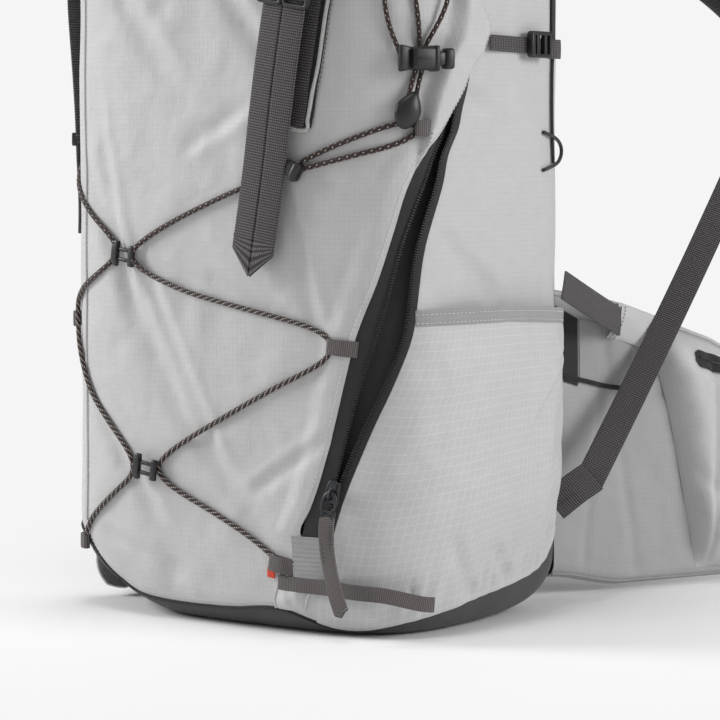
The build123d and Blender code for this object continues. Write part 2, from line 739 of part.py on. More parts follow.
def sternum_buckle(socket):
    """Half of the small buckle, on the end of the hanging webbing."""
    top = sternum_plane().origin + Vector(-6, 9.9, -4)
    width = 22 if socket else 19
    body = box_between((top.X - width / 2, top.Y - 3.2, top.Z - 84), (top.X + width / 2, top.Y + 4.8, top.Z - 62.4))
    if socket:
        return body - box_between((top.X - 7, top.Y - 1.5, top.Z - 85), (top.X + 7, top.Y + 3, top.Z - 69))
    slots = box_between((top.X - 3, top.Y - 4, top.Z - 85), (top.X + 3, top.Y + 6, top.Z - 70))
    return body - slots


# ---- hip belt ----
WING_LINE = [(99, 127), (108, 150), (119, 180), (132, 214), (147, 252), (164, 296), (178, 332)]


def wing_side(half):
    """Points of the wing's plan line moved sideways by half its thickness."""
    line = Spline(*WING_LINE)
    points = []
    count = 16
    for i in range(count + 1):
        p = line @ (i / count)
        t = line % (i / count)
        points.append((p.X - t.Y * half, p.Y + t.X * half))
    return points


def wing_block(inner, outer, bottom, top):
    """Upright wall along the wing between two offsets of its plan line."""
    outline = Polyline(*wing_side(inner), *reversed(wing_side(outer)), close=True)
    return Pos(0, 0, bottom) * extrude(make_face(outline.edges()), top - bottom)


def belt_wing():
    """Padded wing, narrower at its free end."""
    half = WING_THICK / 2
    wing = wing_block(half, -half, WING_BOTTOM, WING_TOP)
    taper_top = Plane.YZ * make_face(Polyline((150, WING_TOP + 1), (350, WING_TOP + 1), (350, 128),
                                              (250, 166), close=True).edges())
    taper_low = Plane.YZ * make_face(Polyline((280, WING_BOTTOM - 1), (350, WING_BOTTOM - 1), (350, 48),
                                              close=True).edges())
    wing = wing - extrude(taper_top, 300, both=True)
    wing = wing - extrude(taper_low, 300, both=True)
    height = WING_TOP - WING_BOTTOM
    return wing + Pos(*WING_LINE[0], WING_BOTTOM + height / 2) * Cylinder(half, height)


def belt_pocket():
    """Zipped pocket on the outer face of the wing."""
    half = WING_THICK / 2
    pouch = wing_block(-half - CLEAR, -half - WING_POCKET_THICK, 14, 160)
    pouch = pouch & box_between((60, 206, 0), (260, 296, 200))
    groove = wing_block(-half - WING_POCKET_THICK + 4, -half - WING_POCKET_THICK - 2, 141, 150)
    return pouch - (groove & box_between((60, 212, 0), (260, 290, 200)))


def belt_slider_plane():
    """Plane in the pocket's zip groove near its outer end: x along the zip, z outwards."""
    line = Spline(*WING_LINE)
    p = line @ 0.7
    t = line % 0.7
    out = Vector(t.Y, -t.X, 0)
    origin = Vector(p.X, p.Y, 145.5) + out * (WING_THICK / 2 + WING_POCKET_THICK - 1.9)
    return Plane(origin=origin, x_dir=(t.X, t.Y, 0), z_dir=out)


def belt_zip_slider():
    """Slider of the belt pocket zip."""
    plane = belt_slider_plane()
    return plane * (Box(9, 6, 3) + Pos(-8, 0, 2) * Box(12, 4, 1.5))


def belt_plane():
    """Upright plane along the belt webbing: x outwards from the wing tip, y up."""
    tip = wing_side(0)[-1]
    direction = Vector(0.45, 0.89, 0).normalized()
    return Plane(origin=(tip[0], tip[1], 0), x_dir=direction, z_dir=direction.cross(Vector(0, 0, 1)))


BELT_DROP = [(1.2, 92), (16, 84), (30, 60), (42, 30), (56, 10), (74, 3.4), (110, 3.4)]


def belt_webbing():
    """Belt webbing that falls from the wing tip to the floor."""
    half = WEB_THICK / 2
    upper = []
    lower = []
    for i, (s, z) in enumerate(BELT_DROP):
        before = BELT_DROP[max(i - 1, 0)]
        after = BELT_DROP[min(i + 1, len(BELT_DROP) - 1)]
        run = Vector(after[0] - before[0], after[1] - before[1]).normalized()
        upper.append((s - run.Y * half, z + run.X * half))
        lower.append((s + run.Y * half, z - run.X * half))
    outline = Polyline(*upper, *reversed(lower), close=True)
    return belt_plane() * extrude(make_face(outline.edges()), WEB_25 / 2, both=True)


def belt_buckle(socket):
    """Half of the belt buckle, lying on the floor at the end of its webbing."""
    length = 42
    height = 12
    start = BELT_DROP[-1][0] + CLEAR
    body = Pos(start + length / 2, height / 2 + CLEAR, 0) * Box(length, height, 34)
    if socket:
        hole = Pos(start + length - 13, height / 2 + CLEAR, 0) * Box(28, 7, 24)
        return belt_plane() * (body - hole)
    for side in (-1, 1):
        slot = Pos(start + length - 12, height / 2 + CLEAR, side * 8) * Box(26, height + 1, 5)
        body = body - slot
    return belt_plane() * body


# ---- export ----
def export(name, shapes):
    """Write one node; several separate solids of one node go in together."""
    if not isinstance(shapes, (list, tuple)):
        shapes = [shapes]
    solids = [solid for shape in shapes for solid in shape.solids()]
    export_step(Compound(children=solids) if len(solids) > 1 else solids[0], f"parts/{name}.step")
    volume = sum(solid.volume for solid in solids)
    print(f"{name}: {len(solids)} solid(s), {volume:.0f} mm3")


def export_pair(name, shape):
    """Write the right piece and its mirrored left copy."""
    export(f"{name}_right", shape)
    export(f"{name}_left", mirrored(shape))


def main():
    os.makedirs("parts", exist_ok=True)
    front, left, right, back = bag_panels()
    export("front_panel", front)
    export("side_panel_left", left)
    export("side_panel_right", right)
    export("back_panel", back)
    export("base_panel", base_panel())
    export("collar", collar())
    export("back_pad", back_pad())
    export("lumbar_pad", lumbar_pad())
    export("haul_loop", haul_loop())
    export_pair("side_pocket", side_pocket())
    export("front_zip_tapes", front_zip_tapes())
    export("zip_slider", zip_slider())
    export("zip_puller", zip_puller())
    export("bungee_right", cord_tube(bag_route(BUNGEE_RIGHT), "bungee right"))
    export("bungee_left", cord_tube(bag_route(BUNGEE_LEFT), "bungee left"))
    export("bungee_adjuster", cord_tube(bag_route(BUNGEE_ADJUSTER), "bungee adjuster"))
    export("drawcord", drawcord())
    export("side_cord_loops", side_cord_loops())
    export("bungee_fittings", bungee_fittings())
    export("tape_loops", tape_loops())
    export("cord_lock_body", cord_lock_body())
    export("cord_lock_button", cord_lock_button())
    export("cord_end_grip", cord_end_grip())
    export("strap_tail", strap_tail())
    export("front_ladder_locks", front_ladder_locks())
    export("lid_webbing", lid_webbing())
    export("strap_anchor_webbing", strap_anchor_webbing())
    export("compression_straps", compression_straps())
    export("compression_ladder_locks", compression_ladder_locks())
    export("side_tail_webbing", side_tail_webbing())
    export("webbing_anchor_tabs", webbing_anchor_tabs())
    export("stabilizer_webbings", stabilizer_webbings())
    export("lid_cover", lid_cover())
    export("lid_zip", lid_zip())
    export("lid_zip_slider", lid_zip_slider())
    export_pair("shoulder_strap", shoulder_strap())
    export_pair("strap_ladder_lock", strap_ladder_lock())
    export_pair("shoulder_webbing", shoulder_webbing())
    export_pair("load_lifter", load_lifter())
    export_pair("sternum_slider", sternum_slider())
    export_pair("sternum_webbing", sternum_webbing())
    export("sternum_socket", sternum_buckle(True))
    export("sternum_plug", mirrored(sternum_buckle(False)))
    export_pair("belt_wing", belt_wing())
    export_pair("belt_pocket", belt_pocket())
    export_pair("belt_zip_slider", belt_zip_slider())
    export_pair("belt_webbing", belt_webbing())
    export("belt_socket", belt_buckle(True))
    export("belt_plug", mirrored(belt_buckle(False)))


main()
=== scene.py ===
import bpy
import bmesh
import math
from mathutils import Matrix, Vector, noise


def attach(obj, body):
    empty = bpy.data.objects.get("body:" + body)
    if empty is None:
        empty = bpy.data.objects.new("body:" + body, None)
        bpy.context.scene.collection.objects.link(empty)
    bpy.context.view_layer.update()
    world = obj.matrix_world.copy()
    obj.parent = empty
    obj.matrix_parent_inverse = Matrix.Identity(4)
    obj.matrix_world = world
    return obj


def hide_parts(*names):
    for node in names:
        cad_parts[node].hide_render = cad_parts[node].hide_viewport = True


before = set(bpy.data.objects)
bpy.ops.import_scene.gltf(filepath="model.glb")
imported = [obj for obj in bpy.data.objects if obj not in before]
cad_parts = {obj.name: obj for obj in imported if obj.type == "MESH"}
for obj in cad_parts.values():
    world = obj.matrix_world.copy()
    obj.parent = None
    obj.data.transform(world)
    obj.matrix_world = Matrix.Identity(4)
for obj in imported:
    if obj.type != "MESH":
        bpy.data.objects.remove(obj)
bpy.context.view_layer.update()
MM = 0.001

# ---- sizes shared by the sewn parts, in millimetres and degrees ----
HALF_WIDTH = 150
HALF_DEPTH = 112
POWER = 4
BAG_TOP = 440
BASE_RADIUS = 24
ZIP_BOTTOM = 62
GAP_BOTTOM = 76
GAP_TOP = 350
THREAD_THICK = 0.5
LEFT_SEAM = -50
BACK_SEAM = 130


# ---- shape of the bag ----
def smooth(x, low, high):
    t = min(max((x - low) / (high - low), 0.0), 1.0)
    return t * t * (3 - 2 * t)


def near(x, centre, width):
    return math.exp(-((x - centre) / width) ** 2)


def tuck(angle, z):
    """How far the rounded foot draws the wall in."""
    radius = BASE_RADIUS + 38 * near(angle, -58, 24) + 14 * near(angle, 122, 30) + 14 * near(angle, -122, 30)
    if z >= radius:
        return 0.0
    rise = radius - z
    return radius - math.sqrt(max(radius ** 2 - rise ** 2, 0.0))


def crease(x, z, start, end, width, depth):
    """Hollow beside a raised fold that runs between two points of the opened-out wall."""
    ax, az = start
    bx, bz = end
    length = math.hypot(bx - ax, bz - az)
    along = ((x - ax) * (bx - ax) + (z - az) * (bz - az)) / length / length
    across = ((x - ax) * (bz - az) - (z - az) * (bx - ax)) / length
    fade = smooth(along, -0.1, 0.25) * (1 - smooth(along, 0.75, 1.1))
    return depth * fade * (near(across, width, width) - 0.45 * near(across, -width * 0.6, width * 0.7))


ROUND = {}
CREASES = [((-110, 300), (-10, 130), 9, 2.6), ((-95, 330), (-60, 190), 7, 2.0),
           ((-60, 250), (20, 95), 6, 1.6), ((-30, 150), (60, 60), 8, 1.8), ((10, 420), (85, 330), 8, 2.2),
           ((40, 330), (-20, 300), 6, 1.4), ((60, 300), (95, 180), 6, 1.6), ((-100, 140), (-30, 60), 7, 1.8),
           ((-80, 420), (-20, 350), 9, 2.0), ((0, 230), (80, 200), 6, 1.2), ((30, 90), (95, 130), 5, 1.5),
           ((-95, 60), (-20, 36), 5, 1.4), ((150, 300), (240, 330), 10, 2.0),
           ((170, 260), (235, 215), 8, 1.8), ((130, 390), (230, 350), 9, 1.6)]


def soft(angle, z):
    """Slack of the cloth: shallow hollows and creases, always inwards."""
    wrapped = (angle + 180) % 360 - 180
    x = math.copysign(round_length(abs(wrapped)) - ROUND[0], wrapped) if ROUND else 0
    way = Vector((math.sin(math.radians(angle)), math.cos(math.radians(angle)), 0))
    slack = 1.9 * (0.5 + 0.5 * noise.noise(way * 2.2 + Vector((0, 0, z * 0.011))))
    slack += 1.1 * (0.5 + 0.5 * noise.noise(way * 5 + Vector((3, 0, z * 0.02 + angle * 0.01 * way.x))))
    slack += 0.5 * noise.noise(Vector((x * 0.045, z * 0.03 - x * 0.02, 7)))
    for start, end, width, depth in CREASES:
        if min(start[0], end[0]) - 40 < x < max(start[0], end[0]) + 40:
            slack += 1.25 * crease(x, z, start, end, width, depth)
    if -50 < angle < 60:
        slack += 1.4 * near(z, 30, 12) * (0.5 + 0.5 * math.sin(angle * 0.33))
    return -max(slack, 0) * (1 if abs(wrapped) < 150 else 0.4)


def outward(angle, z):
    """Point on the bare wall and its outward direction."""
    drawn = tuck(angle, z)
    a = HALF_WIDTH - drawn
    b = HALF_DEPTH - drawn
    s = math.sin(math.radians(angle))
    c = -math.cos(math.radians(angle))
    r = ((abs(s) / a) ** POWER + (abs(c) / b) ** POWER) ** (-1 / POWER)
    x = r * s
    y = r * c
    n = Vector((math.copysign((abs(x) / HALF_WIDTH) ** (POWER - 1) / HALF_WIDTH, x),
                math.copysign((abs(y) / HALF_DEPTH) ** (POWER - 1) / HALF_DEPTH, y), 0)).normalized()
    return Vector((x, y, z)), n


def on_bag(angle, z, off=0.0):
    """Point on the sagging wall, off millimetres outside it."""
    point, n = outward(angle, z)
    return point + n * (off + soft(angle, z))


def through(marks, x):
    """Smooth line through (place, value) marks, level beyond its ends."""
    if x <= marks[0][0]:
        return marks[0][1]
    for k in range(len(marks) - 1):
        a, low = marks[k]
        b, high = marks[k + 1]
        if x <= b:
            before = marks[max(k - 1, 0)]
            after = marks[min(k + 2, len(marks) - 1)]
            start = (high - before[1]) / (b - before[0]) * (b - a)
            end = (after[1] - low) / (after[0] - a) * (b - a)
            t = (x - a) / (b - a)
            return ((2 * t ** 3 - 3 * t ** 2 + 1) * low + (t ** 3 - 2 * t ** 2 + t) * start
                    + (3 * t ** 2 - 2 * t ** 3) * high + (t ** 3 - t ** 2) * end)
    return marks[-1][1]


def seam_angle(z):
    """Angle of the zip seam, which runs round the front right corner as it climbs."""
    h = max(z, ZIP_BOTTOM - 40) - ZIP_BOTTOM
    return 38.5 + 0.085 * h + 0.00025 * h * abs(h) - 1.9 * smooth(z, 180, 245) - 4.5 * smooth(z, 290, 350)


def teeth_shift(z):
    """Where the front row of teeth lies beside the zip seam."""
    return through([(62, 4.6), (80, 4.2), (103, 3.4), (131, 1.6), (159, -0.8), (190, -3.0), (224, -5.0),
                    (250, -8.6), (275, -11.9), (299, -13.7), (318, -12.5), (352, -6)], z)


def gap_edge(z):
    """Where the inner edge of the zip's side tape lies, beyond the open gap."""
    return through([(62, 5.4), (80, 6.4), (95, 8.0), (114, 10.6), (133, 12.8), (158, 15.8), (188, 15.8),
                    (215, 10.5), (245, 3.6), (275, -1.6), (300, -4.6), (322, -4.0), (350, -2.6)], z)


def angle_of(p):
    return math.degrees(math.atan2(p.x, -p.y))


def turn_of(angle, z, shift):
    """Angle that lies shift millimetres along the surface from another one."""
    point, n = outward(angle, z)
    return angle_of(point + Vector((-n.y, n.x, 0)) * shift)


def aside(angle, z, shift, off=0.0):
    """Point beside an angle on the wall, shift millimetres along the surface."""
    return on_bag(turn_of(angle, z, shift), z, off)


def base_seam(angle):
    """Height of the seam between the dark base and the pale walls."""
    return through([(-180, 52), (-130, 62), (-75, 62), (-62, 56), (-50, 47), (-46, 33), (-41, 23), (-35, 15),
                    (-24, 12), (-10, 11.3), (10, 12.4), (24, 15.5), (31, 13.5), (42, 5.5), (50, 4),
                    (60, 10.4), (76, 19), (94, 26), (104, 31), (111, 40), (118, 55), (128, 62), (180, 52)],
                   (angle + 180) % 360 - 180)


def widths():
    """Length round the wall up to each whole degree."""
    total = 0.0
    table = {}
    last = outward(-180, 200)[0]
    for degree in range(-180, 181):
        here = outward(degree, 200)[0]
        total += (here - last).length
        table[degree] = total
        last = here
    return table


ROUND.update(widths())


def round_length(angle):
    if angle > 180:
        return ROUND[180] + round_length(angle - 360)
    low = int(math.floor(max(min(angle, 179.99), -180)))
    share = angle - low
    return ROUND[low] * (1 - share) + ROUND[low + 1] * share


# ---- making pieces ----
def clear_selection():
    bpy.ops.object.select_all(action="DESELECT")


def steps(start, reach, count):
    """Evenly spaced values from start, the last of them reach further on."""
    return [start + reach * i / (count - 1) for i in range(count)]


def select_only(obj):
    clear_selection()
    obj.select_set(True)
    bpy.context.view_layer.objects.active = obj


def letter(side):
    """Ending for the name of a piece that comes in two."""
    return "a" if side < 0 else "b"


def lengths(points):
    """Distance run at each point."""
    reach = [0.0]
    for a, b in zip(points, points[1:]):
        reach.append(reach[-1] + (b - a).length)
    return reach


def close_and_face(mesh, close=False):
    """Turn the faces outwards, after filling the open ends if asked."""
    bm = bmesh.new()
    bm.from_mesh(mesh)
    open_edges = [e for e in bm.edges if e.is_boundary] if close else []
    if open_edges:
        bmesh.ops.holes_fill(bm, edges=open_edges, sides=0)
    bmesh.ops.recalc_face_normals(bm, faces=bm.faces)
    bm.to_mesh(mesh)
    bm.free()


def thicken(obj, thick, offset=0):
    solid = obj.modifiers.new("thickness", "SOLIDIFY")
    solid.thickness = thick * MM
    solid.offset = offset


def round_edges(obj, width, segments, angle=None):
    edge = obj.modifiers.new("edge", "BEVEL")
    edge.width = width * MM
    edge.segments = segments
    if angle:
        edge.limit_method = "ANGLE"
        edge.angle_limit = math.radians(angle)


def finish_piece(obj, body, nodes=(), smooth_angle=40):
    """Shade a piece smooth, hang it on its body and hide the parts it stands for."""
    select_only(obj)
    if smooth_angle:
        bpy.ops.object.shade_smooth_by_angle(angle=math.radians(smooth_angle))
    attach(obj, body)
    if nodes:
        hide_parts(*nodes)
    return obj


def apply_all(obj):
    select_only(obj)
    for modifier in list(obj.modifiers):
        bpy.ops.object.modifier_apply(modifier=modifier.name)


def cloth(name, place, across, up, mat, measure=None, thick=1.4, closed=False, body="pack",
          nodes=(), inside=(0, 0, 200)):
    """Sewn sheet: place(u, v) gives its face in millimetres, measure(u, v) its flat cloth in metres."""
    clear_selection()
    bpy.ops.mesh.primitive_grid_add(x_subdivisions=across, y_subdivisions=up, size=1)
    obj = bpy.context.object
    obj.name = name
    mesh = obj.data
    mesh.name = name
    layer = mesh.uv_layers.active or mesh.uv_layers.new(name="cloth")
    flat = []
    for vertex in mesh.vertices:
        u = vertex.co.x + 0.5
        v = vertex.co.y + 0.5
        p = place(u, v)
        flat.append(measure(u, v) if measure else (u, v))
        vertex.co = Vector(p) * MM
    for loop in mesh.loops:
        layer.data[loop.index].uv = flat[loop.vertex_index]
    select_only(obj)
    bpy.ops.object.mode_set(mode="EDIT")
    bpy.ops.mesh.select_all(action="SELECT")
    if closed:
        bpy.ops.mesh.remove_doubles(threshold=0.00005)
    behind = Vector(inside) * MM
    bpy.ops.object.mode_set(mode="OBJECT")
    facing = sum(poly.area * poly.normal.dot(poly.center - behind) for poly in mesh.polygons)
    if facing < 0:
        mesh.flip_normals()
    if thick:
        thicken(obj, thick, -1)
    apply_all(obj)
    obj.data.materials.append(mat)
    return finish_piece(obj, body, nodes, 50)


def band(name, points, width, thick, mat, faces=None, body="pack", nodes=()):
    """Flat webbing along points, its face turned to the given directions; the map runs in metres."""
    points = [Vector(p) for p in points]
    count = len(points)
    clear_selection()
    bpy.ops.mesh.primitive_grid_add(x_subdivisions=8, y_subdivisions=count - 1, size=1)
    obj = bpy.context.object
    obj.name = name
    mesh = obj.data
    layer = mesh.uv_layers.active
    reach = lengths(points)
    flat = []
    for vertex in mesh.vertices:
        u = vertex.co.x
        i = min(int(round((vertex.co.y + 0.5) * (count - 1))), count - 1)
        before = points[max(i - 1, 0)]
        after = points[min(i + 1, count - 1)]
        run = (after - before).normalized()
        face = Vector(faces[i] if faces else (0, -1, 0))
        face = (face - run * face.dot(run)).normalized()
        wide = run.cross(face)
        bow = (1 - (2 * u) ** 2) * thick * 0.12
        vertex.co = (points[i] + wide * (u * width) + face * bow) * MM
        flat.append(((u + 0.5) * width * MM, reach[i] * MM))
    for loop in mesh.loops:
        layer.data[loop.index].uv = flat[loop.vertex_index]
    thicken(obj, thick)
    round_edges(obj, min(thick * 0.3, 0.5), 2, 50)
    apply_all(obj)
    obj.data.materials.append(mat)
    return finish_piece(obj, body, nodes, 50)


def curve_points(points, per=6):
    """Smooth way through a few points."""
    pts = [Vector(p) for p in points]
    way = []
    for i in range(len(pts) - 1):
        a = pts[max(i - 1, 0)]
        b = pts[i]
        c = pts[i + 1]
        d = pts[min(i + 2, len(pts) - 1)]
        for k in range(per):
            t = k / per
            way.append(0.5 * ((2 * b) + (c - a) * t + (2 * a - 5 * b + 4 * c - d) * t * t
                              + (3 * b - a - 3 * c + d) * t * t * t))
    way.append(pts[-1])
    return way


def join(pieces, name):
    clear_selection()
    for piece in pieces:
        piece.select_set(True)
    bpy.context.view_layer.objects.active = pieces[0]
    if len(pieces) > 1:
        bpy.ops.object.join()
    obj = bpy.context.object
    obj.name = name
    obj.data.name = name
    return obj


def settle(obj):
    """Put the piece's place into its mesh."""
    select_only(obj)
    bpy.ops.object.transform_apply(location=True, rotation=True, scale=True)
    return obj


def moulded_block(size, centre=(0, 0, 0), round_by=0.8, segments=3, taper=None):
    """Moulded lump with rounded edges, in millimetres, before it is seated."""
    clear_selection()
    bpy.ops.mesh.primitive_cube_add(size=1)
    obj = bpy.context.object
    obj.scale = [s * MM for s in size]
    obj.location = [c * MM for c in centre]
    settle(obj)
    if taper:
        axis, share = taper
        for vertex in obj.data.vertices:
            if (vertex.co[axis] - centre[axis] * MM) > 0:
                for other in range(3):
                    if other != axis:
                        middle = centre[other] * MM
                        vertex.co[other] = middle + (vertex.co[other] - middle) * share
    if round_by:
        round_edges(obj, round_by, segments)
        apply_all(obj)
    return obj


def ring_bar(size, hole, thick, round_by=0.7, bars=()):
    """Flat moulded frame with a hole, and bars across it, in millimetres."""
    clear_selection()
    bpy.ops.mesh.primitive_plane_add(size=1)
    obj = bpy.context.object
    obj.scale = (size[0] * MM, size[1] * MM, 1)
    settle(obj)
    bpy.ops.object.mode_set(mode="EDIT")
    bpy.ops.mesh.select_all(action="SELECT")
    bpy.ops.mesh.bevel(offset=min(size) * 0.16 * MM, segments=4, affect="VERTICES")
    bpy.ops.mesh.inset(thickness=(size[0] - hole[0]) / 2 * MM)
    bpy.ops.mesh.delete(type="FACE")
    bpy.ops.object.mode_set(mode="OBJECT")
    thicken(obj, thick)
    round_edges(obj, round_by, 3, 30)
    apply_all(obj)
    parts = [obj]
    for y, width, lift in bars:
        parts.append(moulded_block((size[0] - 2, width, thick * 0.8), (0, y, lift), 0.5))
    return join(parts, "frame")


def seat_frame(angle, z, off=0.0, lean=0.0):
    """Matrix on the wall: x along the surface, y up, z outwards, in metres."""
    p = on_bag(angle, z, off)
    n = outward(angle, z)[1]
    along = Vector((-n.y, n.x, 0))
    turn = Matrix((along, Vector((0, 0, 1)), n)).transposed().to_4x4()
    return Matrix.Translation(p * MM) @ turn @ Matrix.Rotation(math.radians(lean), 4, "Z")


def plane_frame(origin, x_dir, z_dir):
    z = Vector(z_dir).normalized()
    x = Vector(x_dir)
    x = (x - z * x.dot(z)).normalized()
    y = z.cross(x)
    return Matrix.Translation(Vector(origin) * MM) @ Matrix((x, y, z)).transposed().to_4x4()


def place(obj, matrix):
    obj.matrix_world = matrix
    return settle(obj)


def moulding(name, parts, seat, body, nodes=(), mat=None, smooth_angle=40):
    """Join moulded lumps to one piece, seat it and give it its finish."""
    piece = join(parts, name)
    piece.data.materials.append(mat or PLASTIC)
    if seat:
        place(piece, seat)
    return finish_piece(piece, body, nodes, smooth_angle)


def on_side(p, sign):
    """The same point on the side that sign stands for."""
    return Vector((p.x * sign, p.y, p.z))


def take_pattern(pattern):
    """Points and faces of a small mesh, which is then removed."""
    points = [v.co.copy() for v in pattern.data.vertices]
    polys = [tuple(p.vertices) for p in pattern.data.polygons]
    bpy.data.objects.remove(pattern)
    return points, polys


def new_object(name, verts, faces, mat):
    mesh = bpy.data.meshes.new(name)
    mesh.from_pydata(verts, [], faces)
    obj = bpy.data.objects.new(name, mesh)
    bpy.context.collection.objects.link(obj)
    mesh.materials.append(mat)
    return obj


def stitches(name, points, faces, length=2.2, gap=0.9, mat=None, body="pack"):
    """Row of thread stitches along points, in the pale thread unless another is given."""
    pts = [Vector(p) for p in points]
    reach = lengths(pts)
    clear_selection()
    bpy.ops.mesh.primitive_uv_sphere_add(segments=6, ring_count=4, radius=0.5)
    base, polys = take_pattern(bpy.context.object)
    verts = []
    loops = []
    s = gap
    i = 0
    while s + length < reach[-1]:
        while reach[i + 1] < s:
            i += 1
        t = (s - reach[i]) / max(reach[i + 1] - reach[i], 1e-6)
        at = pts[i].lerp(pts[i + 1], t)
        run = (pts[i + 1] - pts[i]).normalized()
        face = Vector(faces[i] if isinstance(faces, list) else faces)
        face = (face - run * face.dot(run)).normalized()
        wide = run.cross(face)
        start = len(verts)
        for co in base:
            across = wide * co.x * THREAD_THICK
            verts.append((at + run * co.z * length + across + face * co.y * THREAD_THICK) * MM)
        loops += [tuple(k + start for k in poly) for poly in polys]
        s += length + gap
    obj = new_object(name, verts, loops, mat or THREAD)
    close_and_face(obj.data)
    finish_piece(obj, body, (), 60)


def smooth_route(points):
    """Points along one smooth line through a cord's route."""
    data = bpy.data.curves.new("route", "CURVE")
    data.dimensions = "3D"
    data.resolution_u = 10
    spline = data.splines.new("NURBS")
    spline.points.add(len(points) - 1)
    for point, p in zip(spline.points, points):
        point.co = (*(Vector(p) * MM), 1)
    spline.order_u = 3
    spline.use_endpoint_u = True
    obj = bpy.data.objects.new("route", data)
    bpy.context.collection.objects.link(obj)
    bpy.context.view_layer.update()
    mesh = bpy.data.meshes.new_from_object(obj)
    way = [v.co.copy() for v in mesh.vertices]
    bpy.data.objects.remove(obj)
    return way


def tube(name, way, radius, mat, body="pack", nodes=(), sides=12):
    """Round cord along points in metres; its map runs round it and along it in metres."""
    radius = radius * MM
    verts = []
    faces = []
    maps = []
    normal = Vector((0, 0, 1))
    reach = 0.0
    for i, p in enumerate(way):
        run = (way[min(i + 1, len(way) - 1)] - way[max(i - 1, 0)]).normalized()
        normal = (normal - run * normal.dot(run))
        if normal.length < 1e-4:
            normal = run.orthogonal()
        normal.normalize()
        other = run.cross(normal)
        if i:
            reach += (p - way[i - 1]).length
        for k in range(sides):
            turn = 2 * math.pi * k / sides
            verts.append(p + normal * math.cos(turn) * radius + other * math.sin(turn) * radius)
            maps.append((k / sides, reach))
    quads = []
    for i in range(len(way) - 1):
        for k in range(sides):
            a = i * sides + k
            b = i * sides + (k + 1) % sides
            quads.append((a, b, b + sides, a + sides))
    faces = quads + [tuple(reversed(range(sides))), tuple(range(len(verts) - sides, len(verts)))]
    obj = new_object(name, verts, faces, mat)
    mesh = obj.data
    layer = mesh.uv_layers.new(name="cloth")
    for poly in mesh.polygons:
        ids = [mesh.loops[k].vertex_index for k in poly.loop_indices]
        wrap = any(i % sides == 0 for i in ids) and any(i % sides == sides - 1 for i in ids)
        for k in poly.loop_indices:
            v = mesh.loops[k].vertex_index
            u = maps[v][0] + (1.0 if wrap and v % sides == 0 else 0.0)
            layer.data[k].uv = (u, maps[v][1])
    close_and_face(mesh)
    return finish_piece(obj, body, nodes, 50)


def cord(name, route, diameter, mat, nodes):
    """Cord on its smooth route."""
    way = smooth_route(route)
    obj = tube(name, way, diameter / 2, mat, "pack", nodes)


# ---- finishes ----
def srgb(*values):
    return [((v / 255 + 0.055) / 1.055) ** 2.4 if v > 10 else v / 255 / 12.92 for v in values] + [1.0]


def feed(tree, socket, value):
    """Set a socket to a number or a colour, or link it to another one."""
    if isinstance(value, bpy.types.NodeSocket):
        tree.links.new(value, socket)
    elif value is not None:
        socket.default_value = srgb(*value) if isinstance(value, tuple) else value


def new_group(name, inputs, outputs):
    """Group whose inputs have a number each, or None for a place; its outputs are masks and heights."""
    group = bpy.data.node_groups.new(name, "ShaderNodeTree")
    for label, value in inputs.items():
        kind = "NodeSocketVector" if value is None else "NodeSocketFloat"
        socket = group.interface.new_socket(name=label, in_out="INPUT", socket_type=kind)
        if value is not None:
            socket.default_value = value
    for label in outputs:
        group.interface.new_socket(name=label, in_out="OUTPUT", socket_type="NodeSocketFloat")
    return group, group.nodes.new("NodeGroupInput").outputs, group.nodes.new("NodeGroupOutput").inputs


def math_node(tree, operation, a, b=None, clamp=False):
    node = tree.nodes.new("ShaderNodeMath")
    node.operation = operation
    node.use_clamp = clamp
    for socket, value in zip(node.inputs, (a, b)):
        feed(tree, socket, value)
    return node.outputs[0]


def mix_colour(tree, factor, a, b):
    node = tree.nodes.new("ShaderNodeMix")
    node.data_type = "RGBA"
    for k, value in ((0, factor), (6, a), (7, b)):
        feed(tree, node.inputs[k], value)
    return node.outputs[2]


def noise_mask(tree, place, scale, detail=2, distortion=0):
    node = tree.nodes.new("ShaderNodeTexNoise")
    for label, value in (("Vector", place), ("Scale", scale), ("Detail", detail), ("Distortion", distortion)):
        feed(tree, node.inputs[label], value)
    return node.outputs["Fac"]


def apart(tree, place):
    node = tree.nodes.new("ShaderNodeSeparateXYZ")
    tree.links.new(place, node.inputs[0])
    return node.outputs


def from_middle(tree, value):
    """How far a value lies from the middle of its unit cell."""
    return math_node(tree, "ABSOLUTE", math_node(tree, "SUBTRACT", math_node(tree, "FRACT", value), 0.5))


def ripstop_group():
    """Thread grid of the shell cloth: masks of the thick threads, the fine threads and the cloudiness."""
    group, start, end = new_group("ripstop threads", {"Cloth map": None, "Cell": 0.005, "Fine cell": 0.0012},
                                  ("Thick threads", "Fine threads", "Clouds", "Height"))
    place = apart(group, start["Cloth map"])
    lines = []
    for cell, width in (("Cell", 0.085), ("Fine cell", 0.5)):
        pair = []
        for axis in (0, 1):
            away = from_middle(group, math_node(group, "DIVIDE", place[axis], start[cell]))
            pair.append(math_node(group, "SUBTRACT", 1.0, math_node(group, "DIVIDE", away, width), True))
        lines.append(math_node(group, "MAXIMUM", *pair))
    feed(group, end["Thick threads"], lines[0])
    feed(group, end["Fine threads"], lines[1])
    feed(group, end["Clouds"], noise_mask(group, start["Cloth map"], 90, 3))
    fine = math_node(group, "MULTIPLY", lines[1], 0.35)
    feed(group, end["Height"], math_node(group, "ADD", lines[0], fine))
    return group


